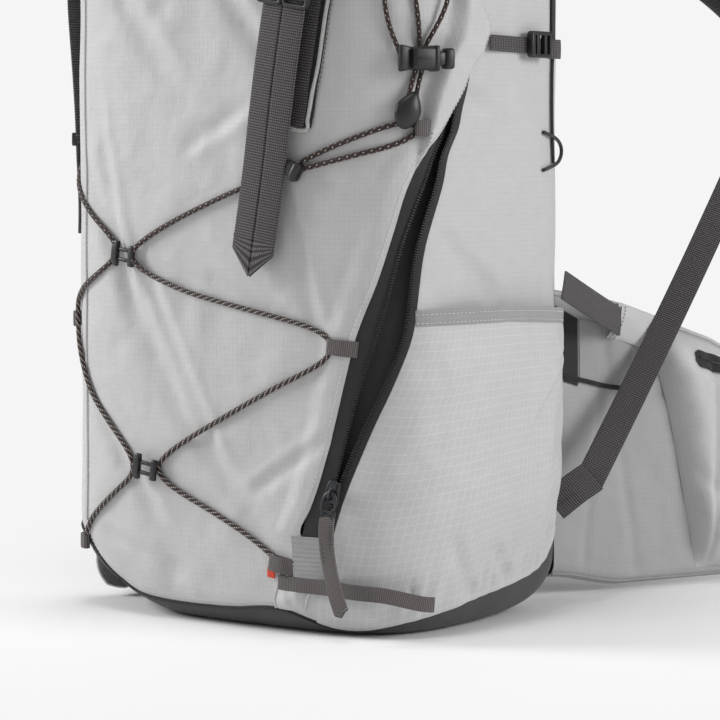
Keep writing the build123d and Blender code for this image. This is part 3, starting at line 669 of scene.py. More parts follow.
def rumple_group():
    """Small folds of thin cloth as a height, from the piece's own place."""
    group, start, end = new_group("cloth rumple", {"Place": None, "Size": 14.0}, ("Height",))
    broad = noise_mask(group, start["Place"], start["Size"], 2, 0.6)
    fine = noise_mask(group, start["Place"], math_node(group, "MULTIPLY", start["Size"], 4.0), 3)
    feed(group, end["Height"], math_node(group, "ADD", broad, math_node(group, "MULTIPLY", fine, 0.25)))
    return group


def rib_group():
    """Ribs across a webbing and the light flecks of its yarn."""
    group, start, end = new_group("webbing ribs", {"Cloth map": None, "Pitch": 0.0016, "Yarn": 0.0011},
                                  ("Rib", "Fleck", "Height"))
    place = apart(group, start["Cloth map"])
    yarn = from_middle(group, math_node(group, "DIVIDE", place[0], start["Yarn"]))
    along = math_node(group, "DIVIDE", place[1], start["Pitch"])
    rib = math_node(group, "MULTIPLY", from_middle(group, along), 2.0)
    dash = math_node(group, "MULTIPLY", math_node(group, "GREATER_THAN", rib, 0.5),
                     math_node(group, "GREATER_THAN", math_node(group, "MULTIPLY", yarn, 2.0), 0.42))
    grain = math_node(group, "ADD", noise_mask(group, start["Cloth map"], 900), 0.2, True)
    feed(group, end["Rib"], rib)
    feed(group, end["Fleck"], math_node(group, "MULTIPLY", dash, grain))
    feed(group, end["Height"], math_node(group, "SUBTRACT", rib, math_node(group, "MULTIPLY", yarn, 0.8)))
    return group


def braid_group():
    """Crossed strands of a braided cord: ridge height and which strands are coloured."""
    group, start, end = new_group("braid", {"Cloth map": None, "Strands": 6.0, "Pitch": 0.0052},
                                  ("Ridge", "Warm strand", "Fleck"))
    place = apart(group, start["Cloth map"])
    round_it = math_node(group, "MULTIPLY", place[0], start["Strands"])
    along = math_node(group, "MULTIPLY", math_node(group, "DIVIDE", place[1], start["Pitch"]), 2.0)
    waves = []
    every_other = []
    for operation in ("ADD", "SUBTRACT"):
        turn = math_node(group, operation, round_it, along)
        cell = math_node(group, "ADD", math_node(group, "FLOOR", turn), 60.0)
        every_other.append(math_node(group, "LESS_THAN", math_node(group, "MODULO", cell, 2.0), 0.5))
        fall = math_node(group, "MULTIPLY", from_middle(group, turn), 2.0)
        waves.append(math_node(group, "SUBTRACT", 1.0, fall))
    dots = math_node(group, "GREATER_THAN", math_node(group, "MULTIPLY", *waves), 0.42)
    feed(group, end["Ridge"], math_node(group, "MAXIMUM", *waves))
    feed(group, end["Warm strand"],
         math_node(group, "MULTIPLY", every_other[0], math_node(group, "GREATER_THAN", *waves)))
    feed(group, end["Fleck"],
         math_node(group, "MULTIPLY", dots, math_node(group, "MULTIPLY", every_other[1], every_other[0])))
    return group


def mesh_group():
    """Small round holes of a spacer mesh."""
    group, start, end = new_group("spacer mesh", {"Cloth map": None, "Cell": 0.003}, ("Hole",))
    cells = group.nodes.new("ShaderNodeTexVoronoi")
    per_metre = math_node(group, "DIVIDE", 1.0, start["Cell"])
    for label, value in (("Vector", start["Cloth map"]), ("Scale", per_metre), ("Randomness", 0.12)):
        feed(group, cells.inputs[label], value)
    feed(group, end["Hole"], math_node(group, "LESS_THAN", cells.outputs["Distance"], 0.3))
    return group


def grain_group():
    """Fine moulded or cast grain and rubbed edges as a height and a wear mask."""
    group, start, end = new_group("moulded grain", {"Place": None, "Size": 900.0}, ("Height", "Wear"))
    feed(group, end["Height"], noise_mask(group, start["Place"], start["Size"], 4))
    feed(group, end["Wear"], noise_mask(group, start["Place"], 60))
    return group


RIPSTOP = ripstop_group()
RUMPLE = rumple_group()
RIBS = rib_group()
BRAID = braid_group()
SPACER = mesh_group()
GRAIN = grain_group()


def new_material(name, rough, sheen, metallic, specular):
    mat = bpy.data.materials.new(name)
    mat.use_nodes = True
    shader = mat.node_tree.nodes["Principled BSDF"].inputs
    for label, value in (("Roughness", rough), ("Sheen Weight", sheen), ("Metallic", metallic),
                         ("Specular IOR Level", specular)):
        shader[label].default_value = value
    return mat, mat.node_tree, shader


def coordinate(tree, which):
    return tree.nodes.new("ShaderNodeTexCoord").outputs[which]


def placed(tree, group, **values):
    node = tree.nodes.new("ShaderNodeGroup")
    node.node_tree = group
    for label, value in values.items():
        feed(tree, node.inputs[label.replace("_", " ")], value)
    return node.outputs


def bump(tree, height, depth, strength, before=None):
    node = tree.nodes.new("ShaderNodeBump")
    for label, value in (("Distance", depth), ("Strength", strength), ("Height", height), ("Normal", before)):
        feed(tree, node.inputs[label], value)
    return node.outputs["Normal"]


def shell_material(name, base, light, dark, cell=0.005, grid=0.35, rough=0.62, rumple=0.45, thread=None):
    """Thin woven cloth with a thread grid and small folds."""
    mat, tree, shader = new_material(name, rough, 0.06, 0, 0.35)
    weave = placed(tree, RIPSTOP, Cloth_map=coordinate(tree, "UV"), Cell=cell)
    folds = placed(tree, RUMPLE, Place=coordinate(tree, "Object"), Size=13.0)
    colour = mix_colour(tree, weave["Clouds"], base, light)
    colour = mix_colour(tree, math_node(tree, "MULTIPLY", weave["Fine threads"], 0.14), colour, dark)
    colour = mix_colour(tree, math_node(tree, "MULTIPLY", weave["Thick threads"], grid), colour,
                        thread or dark)
    feed(tree, shader["Base Color"], colour)
    normal = bump(tree, folds["Height"], 0.006, rumple)
    feed(tree, shader["Normal"], bump(tree, weave["Height"], 0.00025, 0.35, normal))
    return mat


def webbing_material(name, base, fleck, dark, pitch=0.0016, yarn=0.0011):
    mat, tree, shader = new_material(name, 0.75, 0.15, 0, 0.3)
    ribs = placed(tree, RIBS, Cloth_map=coordinate(tree, "UV"), Pitch=pitch, Yarn=yarn)
    # Painted shade: the hollows between the ribs get the dark colour, following the rib height.
    colour = mix_colour(tree, ribs["Rib"], dark, base)
    feed(tree, shader["Base Color"],
         mix_colour(tree, math_node(tree, "MULTIPLY", ribs["Fleck"], 0.75), colour, fleck))
    feed(tree, shader["Normal"], bump(tree, ribs["Height"], 0.0004, 0.8))
    return mat


def braid_material(name, base, warm, fleck, strands=6.0, pitch=0.0052):
    mat, tree, shader = new_material(name, 0.6, 0.2, 0, 0.35)
    braid = placed(tree, BRAID, Cloth_map=coordinate(tree, "UV"), Strands=strands, Pitch=pitch)
    colour = mix_colour(tree, braid["Warm strand"], base, warm)
    feed(tree, shader["Base Color"], mix_colour(tree, braid["Fleck"], colour, fleck))
    feed(tree, shader["Normal"], bump(tree, braid["Ridge"], 0.0006, 0.8))
    return mat


def mesh_material(name, base, hole):
    mat, tree, shader = new_material(name, 0.85, 0.3, 0, 0.2)
    holes = placed(tree, SPACER, Cloth_map=coordinate(tree, "UV"), Cell=0.003)
    # Painted shade: the holes get the near-black colour, for the shade inside them.
    feed(tree, shader["Base Color"], mix_colour(tree, holes["Hole"], base, hole))
    feed(tree, shader["Normal"], bump(tree, math_node(tree, "SUBTRACT", 1.0, holes["Hole"]), 0.0008, 0.9))
    return mat


def moulded_material(name, base, rubbed, rough=0.38, metallic=0.0):
    mat, tree, shader = new_material(name, rough, 0, metallic, 0.5)
    grain = placed(tree, GRAIN, Place=coordinate(tree, "Object"), Size=1100.0)
    feed(tree, shader["Base Color"], mix_colour(tree, grain["Wear"], base, rubbed))
    feed(tree, shader["Normal"], bump(tree, grain["Height"], 0.00008, 0.5))
    return mat


SHELL = shell_material("pale ripstop", (190, 189, 189), (200, 199, 199), (148, 147, 147), 0.0034, 0.16, 0.55,
                       0.8)
POCKET = shell_material("pale pocket ripstop", (187, 187, 187), (196, 196, 196), (150, 150, 150), 0.0046,
                        0.45, 0.5, 0.9, thread=(216, 216, 216))
BASE = shell_material("charcoal base cloth", (66, 66, 68), (74, 74, 76), (50, 50, 52), 0.0025, 0.25, 0.6, 0.3)
# The shell cloth again, made darker: painted shade for the hip belt wing, which lies in the pack's shade.
SHADED_BELT_CLOTH = shell_material("belt cloth darkened as painted shade", (164, 164, 164), (174, 174, 174), (132, 132, 132), 0.0034, 0.16,
                      0.64, 0.6)
PANEL_GREY = shell_material("grey inner cloth", (150, 151, 150), (160, 161, 160), (118, 118, 118), 0.0025,
                            0.3, 0.65, 0.4)
# Lining behind the open front zip: its dark colour is painted shade for the unlit inside of the bag.
LINING_PAINTED_SHADE = shell_material("lining darkened as painted shade", (58, 58, 60), (66, 66, 68), (46, 46, 48), 0.0025, 0.2, 0.7, 0.3)
# The second colour is painted shade for the mesh holes.
MESH = mesh_material("black spacer mesh", (44, 44, 46), (14, 14, 15))
FOAM_EDGE = shell_material("black edge cloth", (36, 36, 38), (44, 44, 46), (24, 24, 26), 0.0025, 0.2, 0.7,
                           0.2)
# The third colour of each webbing is painted shade for the hollows between its ribs.
WEBBING = webbing_material("ribbed webbing", (68, 64, 65), (132, 127, 128), (38, 35, 36), 0.0017, 0.0015)
TAPE = webbing_material("narrow tape", (106, 99, 99), (140, 133, 133), (70, 65, 65), 0.0012, 0.0007)
BINDING = webbing_material("black binding", (34, 34, 36), (62, 62, 64), (18, 18, 19), 0.0012, 0.0008)
PIPING = webbing_material("white piping", (214, 214, 211), (226, 226, 223), (180, 180, 178), 0.001, 0.0007)
ZIP_TAPE = webbing_material("coated zip tape", (52, 51, 52), (66, 65, 66), (38, 37, 38), 0.0007, 0.0006)
CORD = braid_material("flecked shock cord", (36, 27, 26), (84, 50, 42), (214, 206, 200))
THIN_CORD = braid_material("thin black cord", (26, 26, 27), (44, 44, 46), (60, 60, 62), 6.0, 0.004)
PLASTIC = moulded_material("satin black plastic", (24, 24, 26), (34, 34, 36))
METAL = moulded_material("dark enamelled zinc", (46, 47, 50), (66, 67, 70), 0.3, 0.6)
THREAD = moulded_material("pale thread", (210, 209, 205), (222, 221, 217), 0.7)
DARK_THREAD = moulded_material("dark thread", (52, 49, 49), (70, 66, 66), 0.7)
RED_TAG = moulded_material("red tag", (196, 52, 30), (208, 70, 44), 0.6)


# ---- camera, light and floor ----
BACKDROP = (245, 245, 245)
CAMERA_TURN = 38.5
CAMERA_LENS = 150
CAMERA_AWAY = 2.0
CAMERA_HEIGHT = 0.3
LOOK_AHEAD = 3000
LOOK_RIGHT = 44
LOOK_DOWN = 203


def set_camera():
    azimuth = math.radians(CAMERA_TURN)
    away = Vector((math.sin(azimuth), -math.cos(azimuth), 0))
    right = Vector((math.cos(azimuth), math.sin(azimuth), 0))
    data = bpy.data.cameras.new("camera")
    data.lens = CAMERA_LENS
    data.sensor_width = 36
    data.clip_end = 30
    camera = bpy.data.objects.new("camera", data)
    bpy.context.collection.objects.link(camera)
    camera.location = away * CAMERA_AWAY + Vector((0, 0, CAMERA_HEIGHT))
    look = -away * LOOK_AHEAD + right * LOOK_RIGHT + Vector((0, 0, -LOOK_DOWN))
    camera.rotation_euler = look.to_track_quat("-Z", "Y").to_euler()
    bpy.context.scene.camera = camera


def soft_lamp(name, spot, size, power, target=(0, 0, 0.22)):
    data = bpy.data.lights.new(name, "AREA")
    data.shape = "SQUARE"
    data.size = size
    data.energy = power
    lamp = bpy.data.objects.new(name, data)
    bpy.context.collection.objects.link(lamp)
    lamp.location = spot
    lamp.rotation_euler = (Vector(target) - Vector(spot)).to_track_quat("-Z", "Y").to_euler()


def set_floor():
    clear_selection()
    bpy.ops.mesh.primitive_plane_add(size=16)
    floor = bpy.context.object
    floor.name = "floor"
    mat = bpy.data.materials.new("pale floor")
    mat.use_nodes = True
    tree = mat.node_tree
    shader = tree.nodes["Principled BSDF"]
    shader.inputs["Base Color"].default_value = (0.94, 0.94, 0.94, 1)
    shader.inputs["Roughness"].default_value = 0.95
    shader.inputs["Specular IOR Level"].default_value = 0.1
    glow = tree.nodes.new("ShaderNodeEmission")
    glow.inputs["Color"].default_value = srgb(*BACKDROP)
    distance = tree.nodes.new("ShaderNodeVectorMath")
    distance.operation = "LENGTH"
    tree.links.new(coordinate(tree, "Object"), distance.inputs[0])
    fade = tree.nodes.new("ShaderNodeMapRange")
    fade.inputs["From Min"].default_value = 0.16
    fade.inputs["From Max"].default_value = 0.62
    fade.interpolation_type = "SMOOTHSTEP"
    tree.links.new(distance.outputs["Value"], fade.inputs["Value"])
    ray = tree.nodes.new("ShaderNodeLightPath")
    seen = math_node(tree, "MULTIPLY", fade.outputs[0], ray.outputs["Is Camera Ray"])
    blend = tree.nodes.new("ShaderNodeMixShader")
    tree.links.new(seen, blend.inputs[0])
    tree.links.new(shader.outputs[0], blend.inputs[1])
    tree.links.new(glow.outputs[0], blend.inputs[2])
    tree.links.new(blend.outputs[0], tree.nodes["Material Output"].inputs["Surface"])
    floor.data.materials.append(mat)


def set_world():
    world = bpy.data.worlds.new("studio")
    bpy.context.scene.world = world
    world.use_nodes = True
    tree = world.node_tree
    light = tree.nodes["Background"]
    light.inputs["Color"].default_value = (1, 1, 1, 1)
    light.inputs["Strength"].default_value = 0.38
    seen = tree.nodes.new("ShaderNodeBackground")
    seen.inputs["Color"].default_value = srgb(*BACKDROP)
    ray = tree.nodes.new("ShaderNodeLightPath")
    direct = math_node(tree, "MAXIMUM", ray.outputs["Is Camera Ray"], ray.outputs["Is Transmission Ray"])
    blend = tree.nodes.new("ShaderNodeMixShader")
    tree.links.new(direct, blend.inputs[0])
    tree.links.new(light.outputs[0], blend.inputs[1])
    tree.links.new(seen.outputs[0], blend.inputs[2])
    tree.links.new(blend.outputs[0], tree.nodes["World Output"].inputs["Surface"])


def set_scene():
    bpy.context.scene.view_settings.view_transform = "Standard"
    set_camera()
    set_floor()
    set_world()
    soft_lamp("soft box on the right", (2.0, 0.5, 0.9), 0.9, 22)
    soft_lamp("soft box on the left", (-1.9, -1.0, 1.2), 0.9, 40)
    soft_lamp("high light", (0.3, -0.6, 2.4), 0.8, 9, (0, 0, 0.3))
    soft_lamp("rim from behind", (-0.6, 1.8, 1.6), 1.2, 6)


# ---- bag walls ----
def front_edge(z):
    """Angle of the front panel's free edge, over the zip tape and above it."""
    return through([(20, 41.0), (50, 41.5), (57, 38), (64, 34.2), (81, 37.0), (101, 39.7), (133, 43.0),
                    (162, 45.5), (190, 48.0), (224, 52.6), (254, 56.0), (280, 58.9), (300, 62.6), (315, 67.0),
                    (326, 70.0), (349, 76.6), (366, 81.4), (381, 84.4), (392, 82.0), (410, 77.4),
                    (440, 75.0)], z)


def side_edge(z):
    """Angle where the right side panel starts, beyond the open zip."""
    return min(turn_of(seam_angle(z), z, gap_edge(z) + 1.5), 80.0) - 9 * smooth(z, 344, 372)


def wall(name, first, last, mat, nodes, across, up, lift=None):
    """Wall panel between two angles, from the base seam to the top."""
    def spot(u, v):
        low = 20
        for _ in range(4):
            low = base_seam(first(low) + (last(low) - first(low)) * u) - 1
        z = low + (BAG_TOP - low) * v
        return first(z) + (last(z) - first(z)) * u, z

    def face(u, v):
        angle, z = spot(u, v)
        edge = min(u, 1 - u)
        off = -0.7 * (1 - smooth(edge, 0, 0.02)) - 0.5 * (1 - smooth(v, 0, 0.02))
        if lift:
            off += lift(angle, z)
        return on_bag(angle, z, off)

    def flat(u, v):
        angle, z = spot(u, v)
        return round_length(angle) * MM, z * MM
    return cloth(name, face, across, up, mat, flat, 1.3, nodes=nodes)


def fold_crease(z):
    """Angle of the hollow on the inner side of the fold."""
    return through([(290, 60.6), (304, 62.2), (326, 63.8), (341, 65.1), (355, 67.2), (365, 69.2), (378, 71.2),
                    (397, 73.0), (440, 73.5)], z)


def fold_lift(angle, z):
    """The front panel's edge lies over the zip tape and stands up in a fold above it."""
    edge = front_edge(z)
    share = (angle - fold_crease(z)) / max(edge - fold_crease(z), 1.6)
    high = smooth(z, 286, 322)
    rounded = math.sqrt(max(1 - (1 - min(max(1 - share, 0) / 0.4, 1)) ** 2, 0))
    rise = (2.2 + 5.6 * rounded) * smooth(share, -0.06, 0.2) * high * (1 - 0.4 * smooth(z, 415, 438))
    hollow = 2.8 * near(share, -0.22, 0.2) * smooth(z, 318, 340)
    return rise - hollow + 2.7 * (1 - high) * (1 - smooth(edge - angle, 3.5, 8.5)) * smooth(z, 57, 68)


def bag_walls():
    wall("front_cloth", lambda z: LEFT_SEAM, front_edge, SHELL, ("front_panel",), 210, 170, fold_lift)
    wall("right_cloth", side_edge, lambda z: BACK_SEAM, SHELL, ("side_panel_right",), 90, 150,
         lambda a, z: -2.4 * smooth(z, 330, 352) * (1 - smooth(a, 84, 95)))
    wall("left_cloth", lambda z: -BACK_SEAM, lambda z: LEFT_SEAM, SHELL, ("side_panel_left",), 90, 150)
    wall("back_cloth", lambda z: BACK_SEAM, lambda z: 360 - BACK_SEAM, FOAM_EDGE, ("back_panel",), 80, 90)


def base_cloth():
    def spot(u, v):
        angle = -180 + 360 * u
        if v < 0.3:
            return angle, 0.0, v / 0.3
        return angle, (base_seam(angle) + 1) * ((v - 0.3) / 0.7) ** 1.5, 1.0

    def face(u, v):
        angle, z, share = spot(u, v)
        p = on_bag(angle, z, -0.6 + 0.6 * smooth(v, 0.9, 1))
        return Vector((p.x * share, p.y * share, z))

    def flat(u, v):
        angle, z, share = spot(u, v)
        return round_length(angle) * MM, (z - 100 * (1 - share)) * MM
    cloth("base_cloth", face, 160, 26, BASE, flat, 1.6, True, nodes=("base_panel",),
          inside=(0, 0, 100))
    rim = [on_bag(turn, base_seam(turn), 0.2) * MM for turn in steps(-180, 360, 241)]
    tube("base_piping", rim, 1.1, BINDING, sides=8)


def wall_seams():
    """Stitched seams where the panels meet, and the row of stitches above the base."""
    for name, angle, low in (("left_front_seam", LEFT_SEAM, 58), ("left_back_seam", -BACK_SEAM, 62),
                             ("right_back_seam", BACK_SEAM, 62)):
        heights = range(low, 432, 6)
        way = [on_bag(angle, z, -0.2) for z in heights]
        faces = [outward(angle, z)[1] for z in heights]
        tube(name, [p * MM for p in way], 0.9, SHELL if angle == LEFT_SEAM else BINDING, sides=8)
        stitches(name + "_thread", [aside(angle, z, 3, 0.05) for z in heights], faces)
    way = []
    faces = []
    for angle in steps(-128, BACK_SEAM + 126, 200):
        way.append(on_bag(angle, base_seam(angle) + 4, 0.05))
        faces.append(outward(angle, base_seam(angle) + 4)[1])
    stitches("base_thread", way, faces)
    way = []
    faces = []
    for z in range(80, 430, 5):
        angle = turn_of(front_edge(z), z, -3.2)
        way.append(on_bag(angle, z, 0.15 + fold_lift(angle, z)))
        faces.append(outward(angle, z)[1])
    stitches("zip_thread", way, faces)


# ---- side pockets ----
def pocket_start(z):
    return turn_of(seam_angle(z), z, gap_edge(z) + 4.4)


POCKET_FOLDS = [((0.62, 0.55), (0.98, 0.98), 0.03, 2.6), ((0.8, 0.3), (0.99, 0.62), 0.03, 2.4),
                ((0.7, 0.92), (0.97, 0.72), 0.03, 1.8), ((0.82, 0.1), (0.97, 0.36), 0.025, 2.2),
                ((0.34, 0.28), (0.5, 0.02), 0.025, 2.2), ((0.1, 0.5), (0.3, 0.85), 0.04, 1.2),
                ((0.55, 0.2), (0.68, 0.02), 0.022, 1.5), ((0.3, 0.6), (0.6, 0.75), 0.05, 1.2)]
POCKET_REAR = 121


def pocket_face(u, v, mirrored):
    """Full pocket between the zip and the back corner, gathered along its foot."""
    low = 20
    for _ in range(4):
        low = base_seam(pocket_start(low) * (1 - u) + POCKET_REAR * u)
    high = 204 - 5 * u + 3 * math.sin(math.pi * u)
    z = low + (high - low) * v
    angle = pocket_start(z) + (POCKET_REAR - pocket_start(z)) * u
    full = min(1.0, 2.6 * u) ** 0.8 * min(1.0, 4.5 * (1 - u)) ** 0.7
    if mirrored:
        angle = 68 + (POCKET_REAR - 68) * u
        full *= 0.35 + 0.65 * smooth(u, 0.2, 0.7)
    rise = 3 + 12 * smooth(v, 0, 0.35) - 2.5 * smooth(v, 0.75, 1)
    off = 0.6 + rise * full
    gather = (1 - smooth(v, 0, 0.22)) * (0.35 + 1.1 * smooth(v, 0, 0.06))
    gather *= math.sin(u * 95 + 2 * math.sin(u * 23))
    fold = -sum(crease(u, v, *marks) for marks in POCKET_FOLDS)
    wave = 1.6 * noise.noise(Vector((u * 5, v * 4, 5 if mirrored else 1)))
    off += full * (gather + fold + wave)
    p = on_bag(angle, z, off)
    return on_side(p, -1) if mirrored else p


def pocket(side):
    mirrored = side == "left"
    cloth(f"pocket_cloth_{side}", lambda u, v: pocket_face(u, v, mirrored), 130, 90, POCKET,
          lambda u, v: (0.2 * u, 0.16 * v), 1.3, nodes=(f"side_pocket_{side}",))
    top = [pocket_face(i / 60, 1, mirrored) for i in range(61)]
    faces = [Vector((p.x * 0.3, p.y * 0.2, 0)) + Vector((1 if p.x > 0 else -1, 0, 0)) for p in top]
    hem = [p + Vector((0.5 if p.x > 0 else -0.5, 0, -4)) for p in top]
    band(f"pocket_hem_{side}", hem, 10, 1.0, PANEL_GREY, faces)
    for drop in (1.6, 7.0):
        row = [p + Vector((1.4 if p.x > 0 else -1.4, -0.3, -drop)) for p in top]
        stitches(f"pocket_hem_thread_{side}_{int(drop)}", row, faces)
    sign = -1 if mirrored else 1
    rear = [pocket_face(1, v / 40, mirrored) + Vector((sign, -0.5, 0)) for v in range(41)]
    faces = [Vector((sign, 0.3, 0))] * 41
    stitches(f"pocket_rear_thread_{side}", rear, faces)


# ---- front zip ----
def zip_way(shift, off, low=ZIP_BOTTOM, high=346, step=3):
    way = []
    faces = []
    z = low
    while z <= high:
        way.append(aside(seam_angle(z), z, shift(z), off))
        faces.append(outward(seam_angle(z), z)[1])
        z += step
    return way, faces


def zip_teeth(name, shift, high):
    """Row of coil teeth along a zip's edge."""
    way, faces = zip_way(shift, 1.5, ZIP_BOTTOM + 2, high, 1.6)
    clear_selection()
    bpy.ops.mesh.primitive_cylinder_add(vertices=8, radius=0.5, depth=1)
    bpy.ops.object.mode_set(mode="EDIT")
    bpy.ops.mesh.select_all(action="SELECT")
    bpy.ops.mesh.bevel(offset=0.15, segments=1)
    bpy.ops.object.mode_set(mode="OBJECT")
    base, polys = take_pattern(bpy.context.object)
    verts = []
    loops = []
    for i in range(len(way) - 1):
        run = (way[i + 1] - way[i]).normalized()
        face = faces[i]
        wide = run.cross(face).normalized()
        start = len(verts)
        for co in base:
            verts.append((way[i] + wide * co.z * 2.6 + run * co.x * 1.25 + face * co.y * 1.3) * MM)
        loops += [tuple(k + start for k in poly) for poly in polys]
    finish_piece(new_object(name, verts, loops, PLASTIC), "pack", (), 60)


def tape_strip(name, first, last, high, nodes=()):
    """Zip tape that lies along the wall between two distances from the seam."""
    def face(u, v):
        z = ZIP_BOTTOM + (high - ZIP_BOTTOM) * v
        return aside(seam_angle(z), z, first(z) + (last(z) - first(z)) * u, 1.2)
    return cloth(name, face, 8, 90, ZIP_TAPE, lambda u, v: (u * 0.012, v * 0.28), 1.0,
                 nodes=nodes)


def front_zip():
    tape_strip("zip_tape_front", lambda z: teeth_shift(z) - 15 + 5 * smooth(z, 270, 305),
               lambda z: teeth_shift(z) - 0.3, 322, ("front_zip_tapes",))
    tape_strip("zip_tape_side", gap_edge, lambda z: gap_edge(z) + 5.6, 350)
    zip_teeth("zip_teeth_front", teeth_shift, 322)
    zip_teeth("zip_teeth_side", lambda z: gap_edge(z) - 0.6, 346)

    # Sheet inside the open zip gap, in the dark lining that stands in as painted shade.
    def inner(u, v):
        z = GAP_BOTTOM - 12 + (GAP_TOP - GAP_BOTTOM + 12) * v
        return aside(seam_angle(z), z, -24 + 56 * u, -9)
    cloth("inner_lining_painted_shade", inner, 30, 60, LINING_PAINTED_SHADE, lambda u, v: (u * 0.05, v * 0.27), 1.0)


def zip_slider_metal():
    """Slider with its bridge, and the ring that holds the webbing pull."""
    up = (aside(seam_angle(106), 106, 0, 0) - aside(seam_angle(82), 82, 0, 0)).normalized()
    origin, n = outward(seam_angle(94), 94)
    out = (n - up * n.dot(up)).normalized()
    seat = plane_frame(origin + out * 3.4 + up.cross(out) * 5.6, up.cross(out), out)
    body = moulded_block((11.5, 14, 2.8), (0, 0, 1.5), 0.9, 3, (1, 0.72))
    nose = moulded_block((4.6, 6, 3.6), (0, 4.8, 2.8), 0.8)
    clear_selection()
    bpy.ops.mesh.primitive_torus_add(major_radius=4.2 * MM, minor_radius=0.8 * MM, major_segments=32,
                                     minor_segments=10, rotation=(0, math.pi / 2, 0),
                                     location=(0, -0.6 * MM, 2.6 * MM))
    bridge = settle(bpy.context.object)
    moulding("slider_body", [body, nose, bridge], seat, "slider", ("zip_slider",), METAL)
    clear_selection()
    bpy.ops.mesh.primitive_torus_add(major_radius=4.6 * MM, minor_radius=1.1 * MM, major_segments=36,
                                     minor_segments=10, location=(0.8 * MM, -7.0 * MM, 4.6 * MM))
    link = bpy.context.object
    link.scale = (1.0, 1.5, 1.0)
    eye = ring_bar((9.6, 8.4), (5.6, 4.4), 2.6, 0.8)
    eye.data.transform(Matrix.Translation((2.0 * MM, -14.6 * MM, 4.6 * MM)))
    moulding("pull_link", [settle(link), eye], seat, "puller", (), METAL, 60)
    line = [(2.0, -15, 4.2), (4.4, -23, 6), (8.6, -34, 7), (14.4, -44.5, 8.4), (20.6, -53.5, 10.6),
            (27, -61.5, 12.6), (33, -68, 14)]
    way = [seat @ (p * MM) / MM for p in curve_points(line, 5)]
    face = [(seat.to_3x3() @ Vector((0.12 * math.sin(i * 0.3), 0, 1))) for i in range(len(way))]
    pull = band("pull_webbing", way, 9.6, 2.6, TAPE, face, "puller", ("zip_puller",))
    last = way[-1]
    run = (way[-1] - way[-2]).normalized()
    wide = run.cross(face[-1]).normalized()
    for vertex in pull.data.vertices:
        co = vertex.co / MM - last
        beyond = co.dot(run)
        if beyond > -1.2:
            point = 3.4 * (0.35 - abs(co.dot(wide) / 4.8 - 0.25))
            vertex.co = (co + last + run * point) * MM
    for shift in (-3.2, 3.2):
        row = [seat @ (Vector((p.x + shift, p.y, p.z + 1.5)) * MM) / MM for p in curve_points(line, 5)][3:16]
        stitches(f"pull_thread_{letter(shift)}", row, face[3:16], 1.8, 0.8, DARK_THREAD, "puller")


# ---- shock cord and its loops ----
RIGHT_LACE = [(30.5, 292.5), (16, 281.5), (-4, 267), (-18.5, 254.5), (-27, 244.5), (-30.5, 236.5),
              (-27.5, 228.5), (-20, 221.5), (-7, 213), (14, 205), (31, 198), (39, 192.5), (42.5, 185.5),
              (42, 177), (38, 169), (28, 157), (10.5, 138), (-8, 120), (-17.5, 107.5), (-20.8, 98.8),
              (-17.8, 91), (-10.5, 83.5), (0, 75.5), (12, 65.5), (22, 55), (27.5, 46.5)]
LEFT_LACE = [(-68, 306), (-61, 293), (-54, 278), (-46.5, 263), (-40.5, 250.5), (-37.3, 241.5), (-38, 233),
             (-42.5, 224), (-49, 215.5), (-54, 207), (-55.8, 197), (-55, 186), (-52.5, 173), (-49.5, 158),
             (-46, 144), (-41, 130), (-35.5, 117.5), (-31.3, 108), (-29.8, 99.5), (-31.5, 91.5),
             (-36, 82), (-42, 70), (-47, 58.5), (-50, 48)]
TOP_LACE = [(34.6, 292.2), (42.2, 297.2), (48.8, 302.0), (54.1, 305.6), (58.5, 310.0), (61.0, 314.6),
            (61.0, 319.2), (58.4, 321.4), (55, 319.2), (51.0, 315.4), (45.5, 309.6), (39.7, 302.9),
            (34.6, 296.8)]
LOCK_STRANDS = [[(57.2, 362.5, 5), (56.6, 368.5, 2.6), (55.2, 378, 2.4), (54.2, 389, 2.4), (53.8, 400, 2.4),
                 (55, 415, 2.4), (57, 430, 2.4)],
                [(59.0, 338.0, 5.6), (59.6, 342.5, 3.8), (60.4, 348.5, 2.0), (61.2, 354.5, 1.7),
                 (61.7, 360, 1.7), (62.1, 365.6, 1.7), (62.3, 370, 1.9), (61.9, 376, 2.4), (61.2, 387, 2.4),
                 (60.6, 398, 2.4), (60.8, 415, 2.4), (61, 430, 2.4)],
                [(60.6, 338.0, 5.6), (61.2, 342.5, 3.8), (62.0, 348.5, 2.0), (62.7, 354.5, 1.7),
                 (63.2, 360, 1.7), (63.5, 365.6, 1.7), (64.0, 370, 2.0), (65.2, 378, 3.4), (67.0, 388, 4.6),
                 (68.4, 398, 5.2), (69.6, 415, 5.2), (70.5, 430, 5.2)]]


SIDE_LOOP = [(109, 316, 1.4), (114, 313.5, 3.2), (118, 308, 4.6), (118.5, 301, 4.8), (115, 294.5, 3.4),
             (109, 291.5, 1.4)]


def laces():
    def route(places, off=2.2):
        return [on_bag(angle, z, off) for angle, z in places]
    cord("lace_right", route(RIGHT_LACE), 3.4, CORD, ("bungee_right",))
    cord("lace_left", route(LEFT_LACE), 3.4, CORD, ("bungee_left",))
    cord("lace_top", route(TOP_LACE), 3.4, CORD, ("bungee_adjuster",))
    for i, places in enumerate(LOCK_STRANDS):
        cord(f"pull_cord_{i}", [on_bag(*spot) for spot in places], 3.0, CORD,
             ("drawcord",) if i == 0 else ())
    for sign, side in ((1, "right"), (-1, "left")):
        points = [on_side(on_bag(*spot), sign) for spot in SIDE_LOOP]
        cord(f"side_loop_{side}", points, 2.4, THIN_CORD, ("side_cord_loops",) if sign > 0 else ())


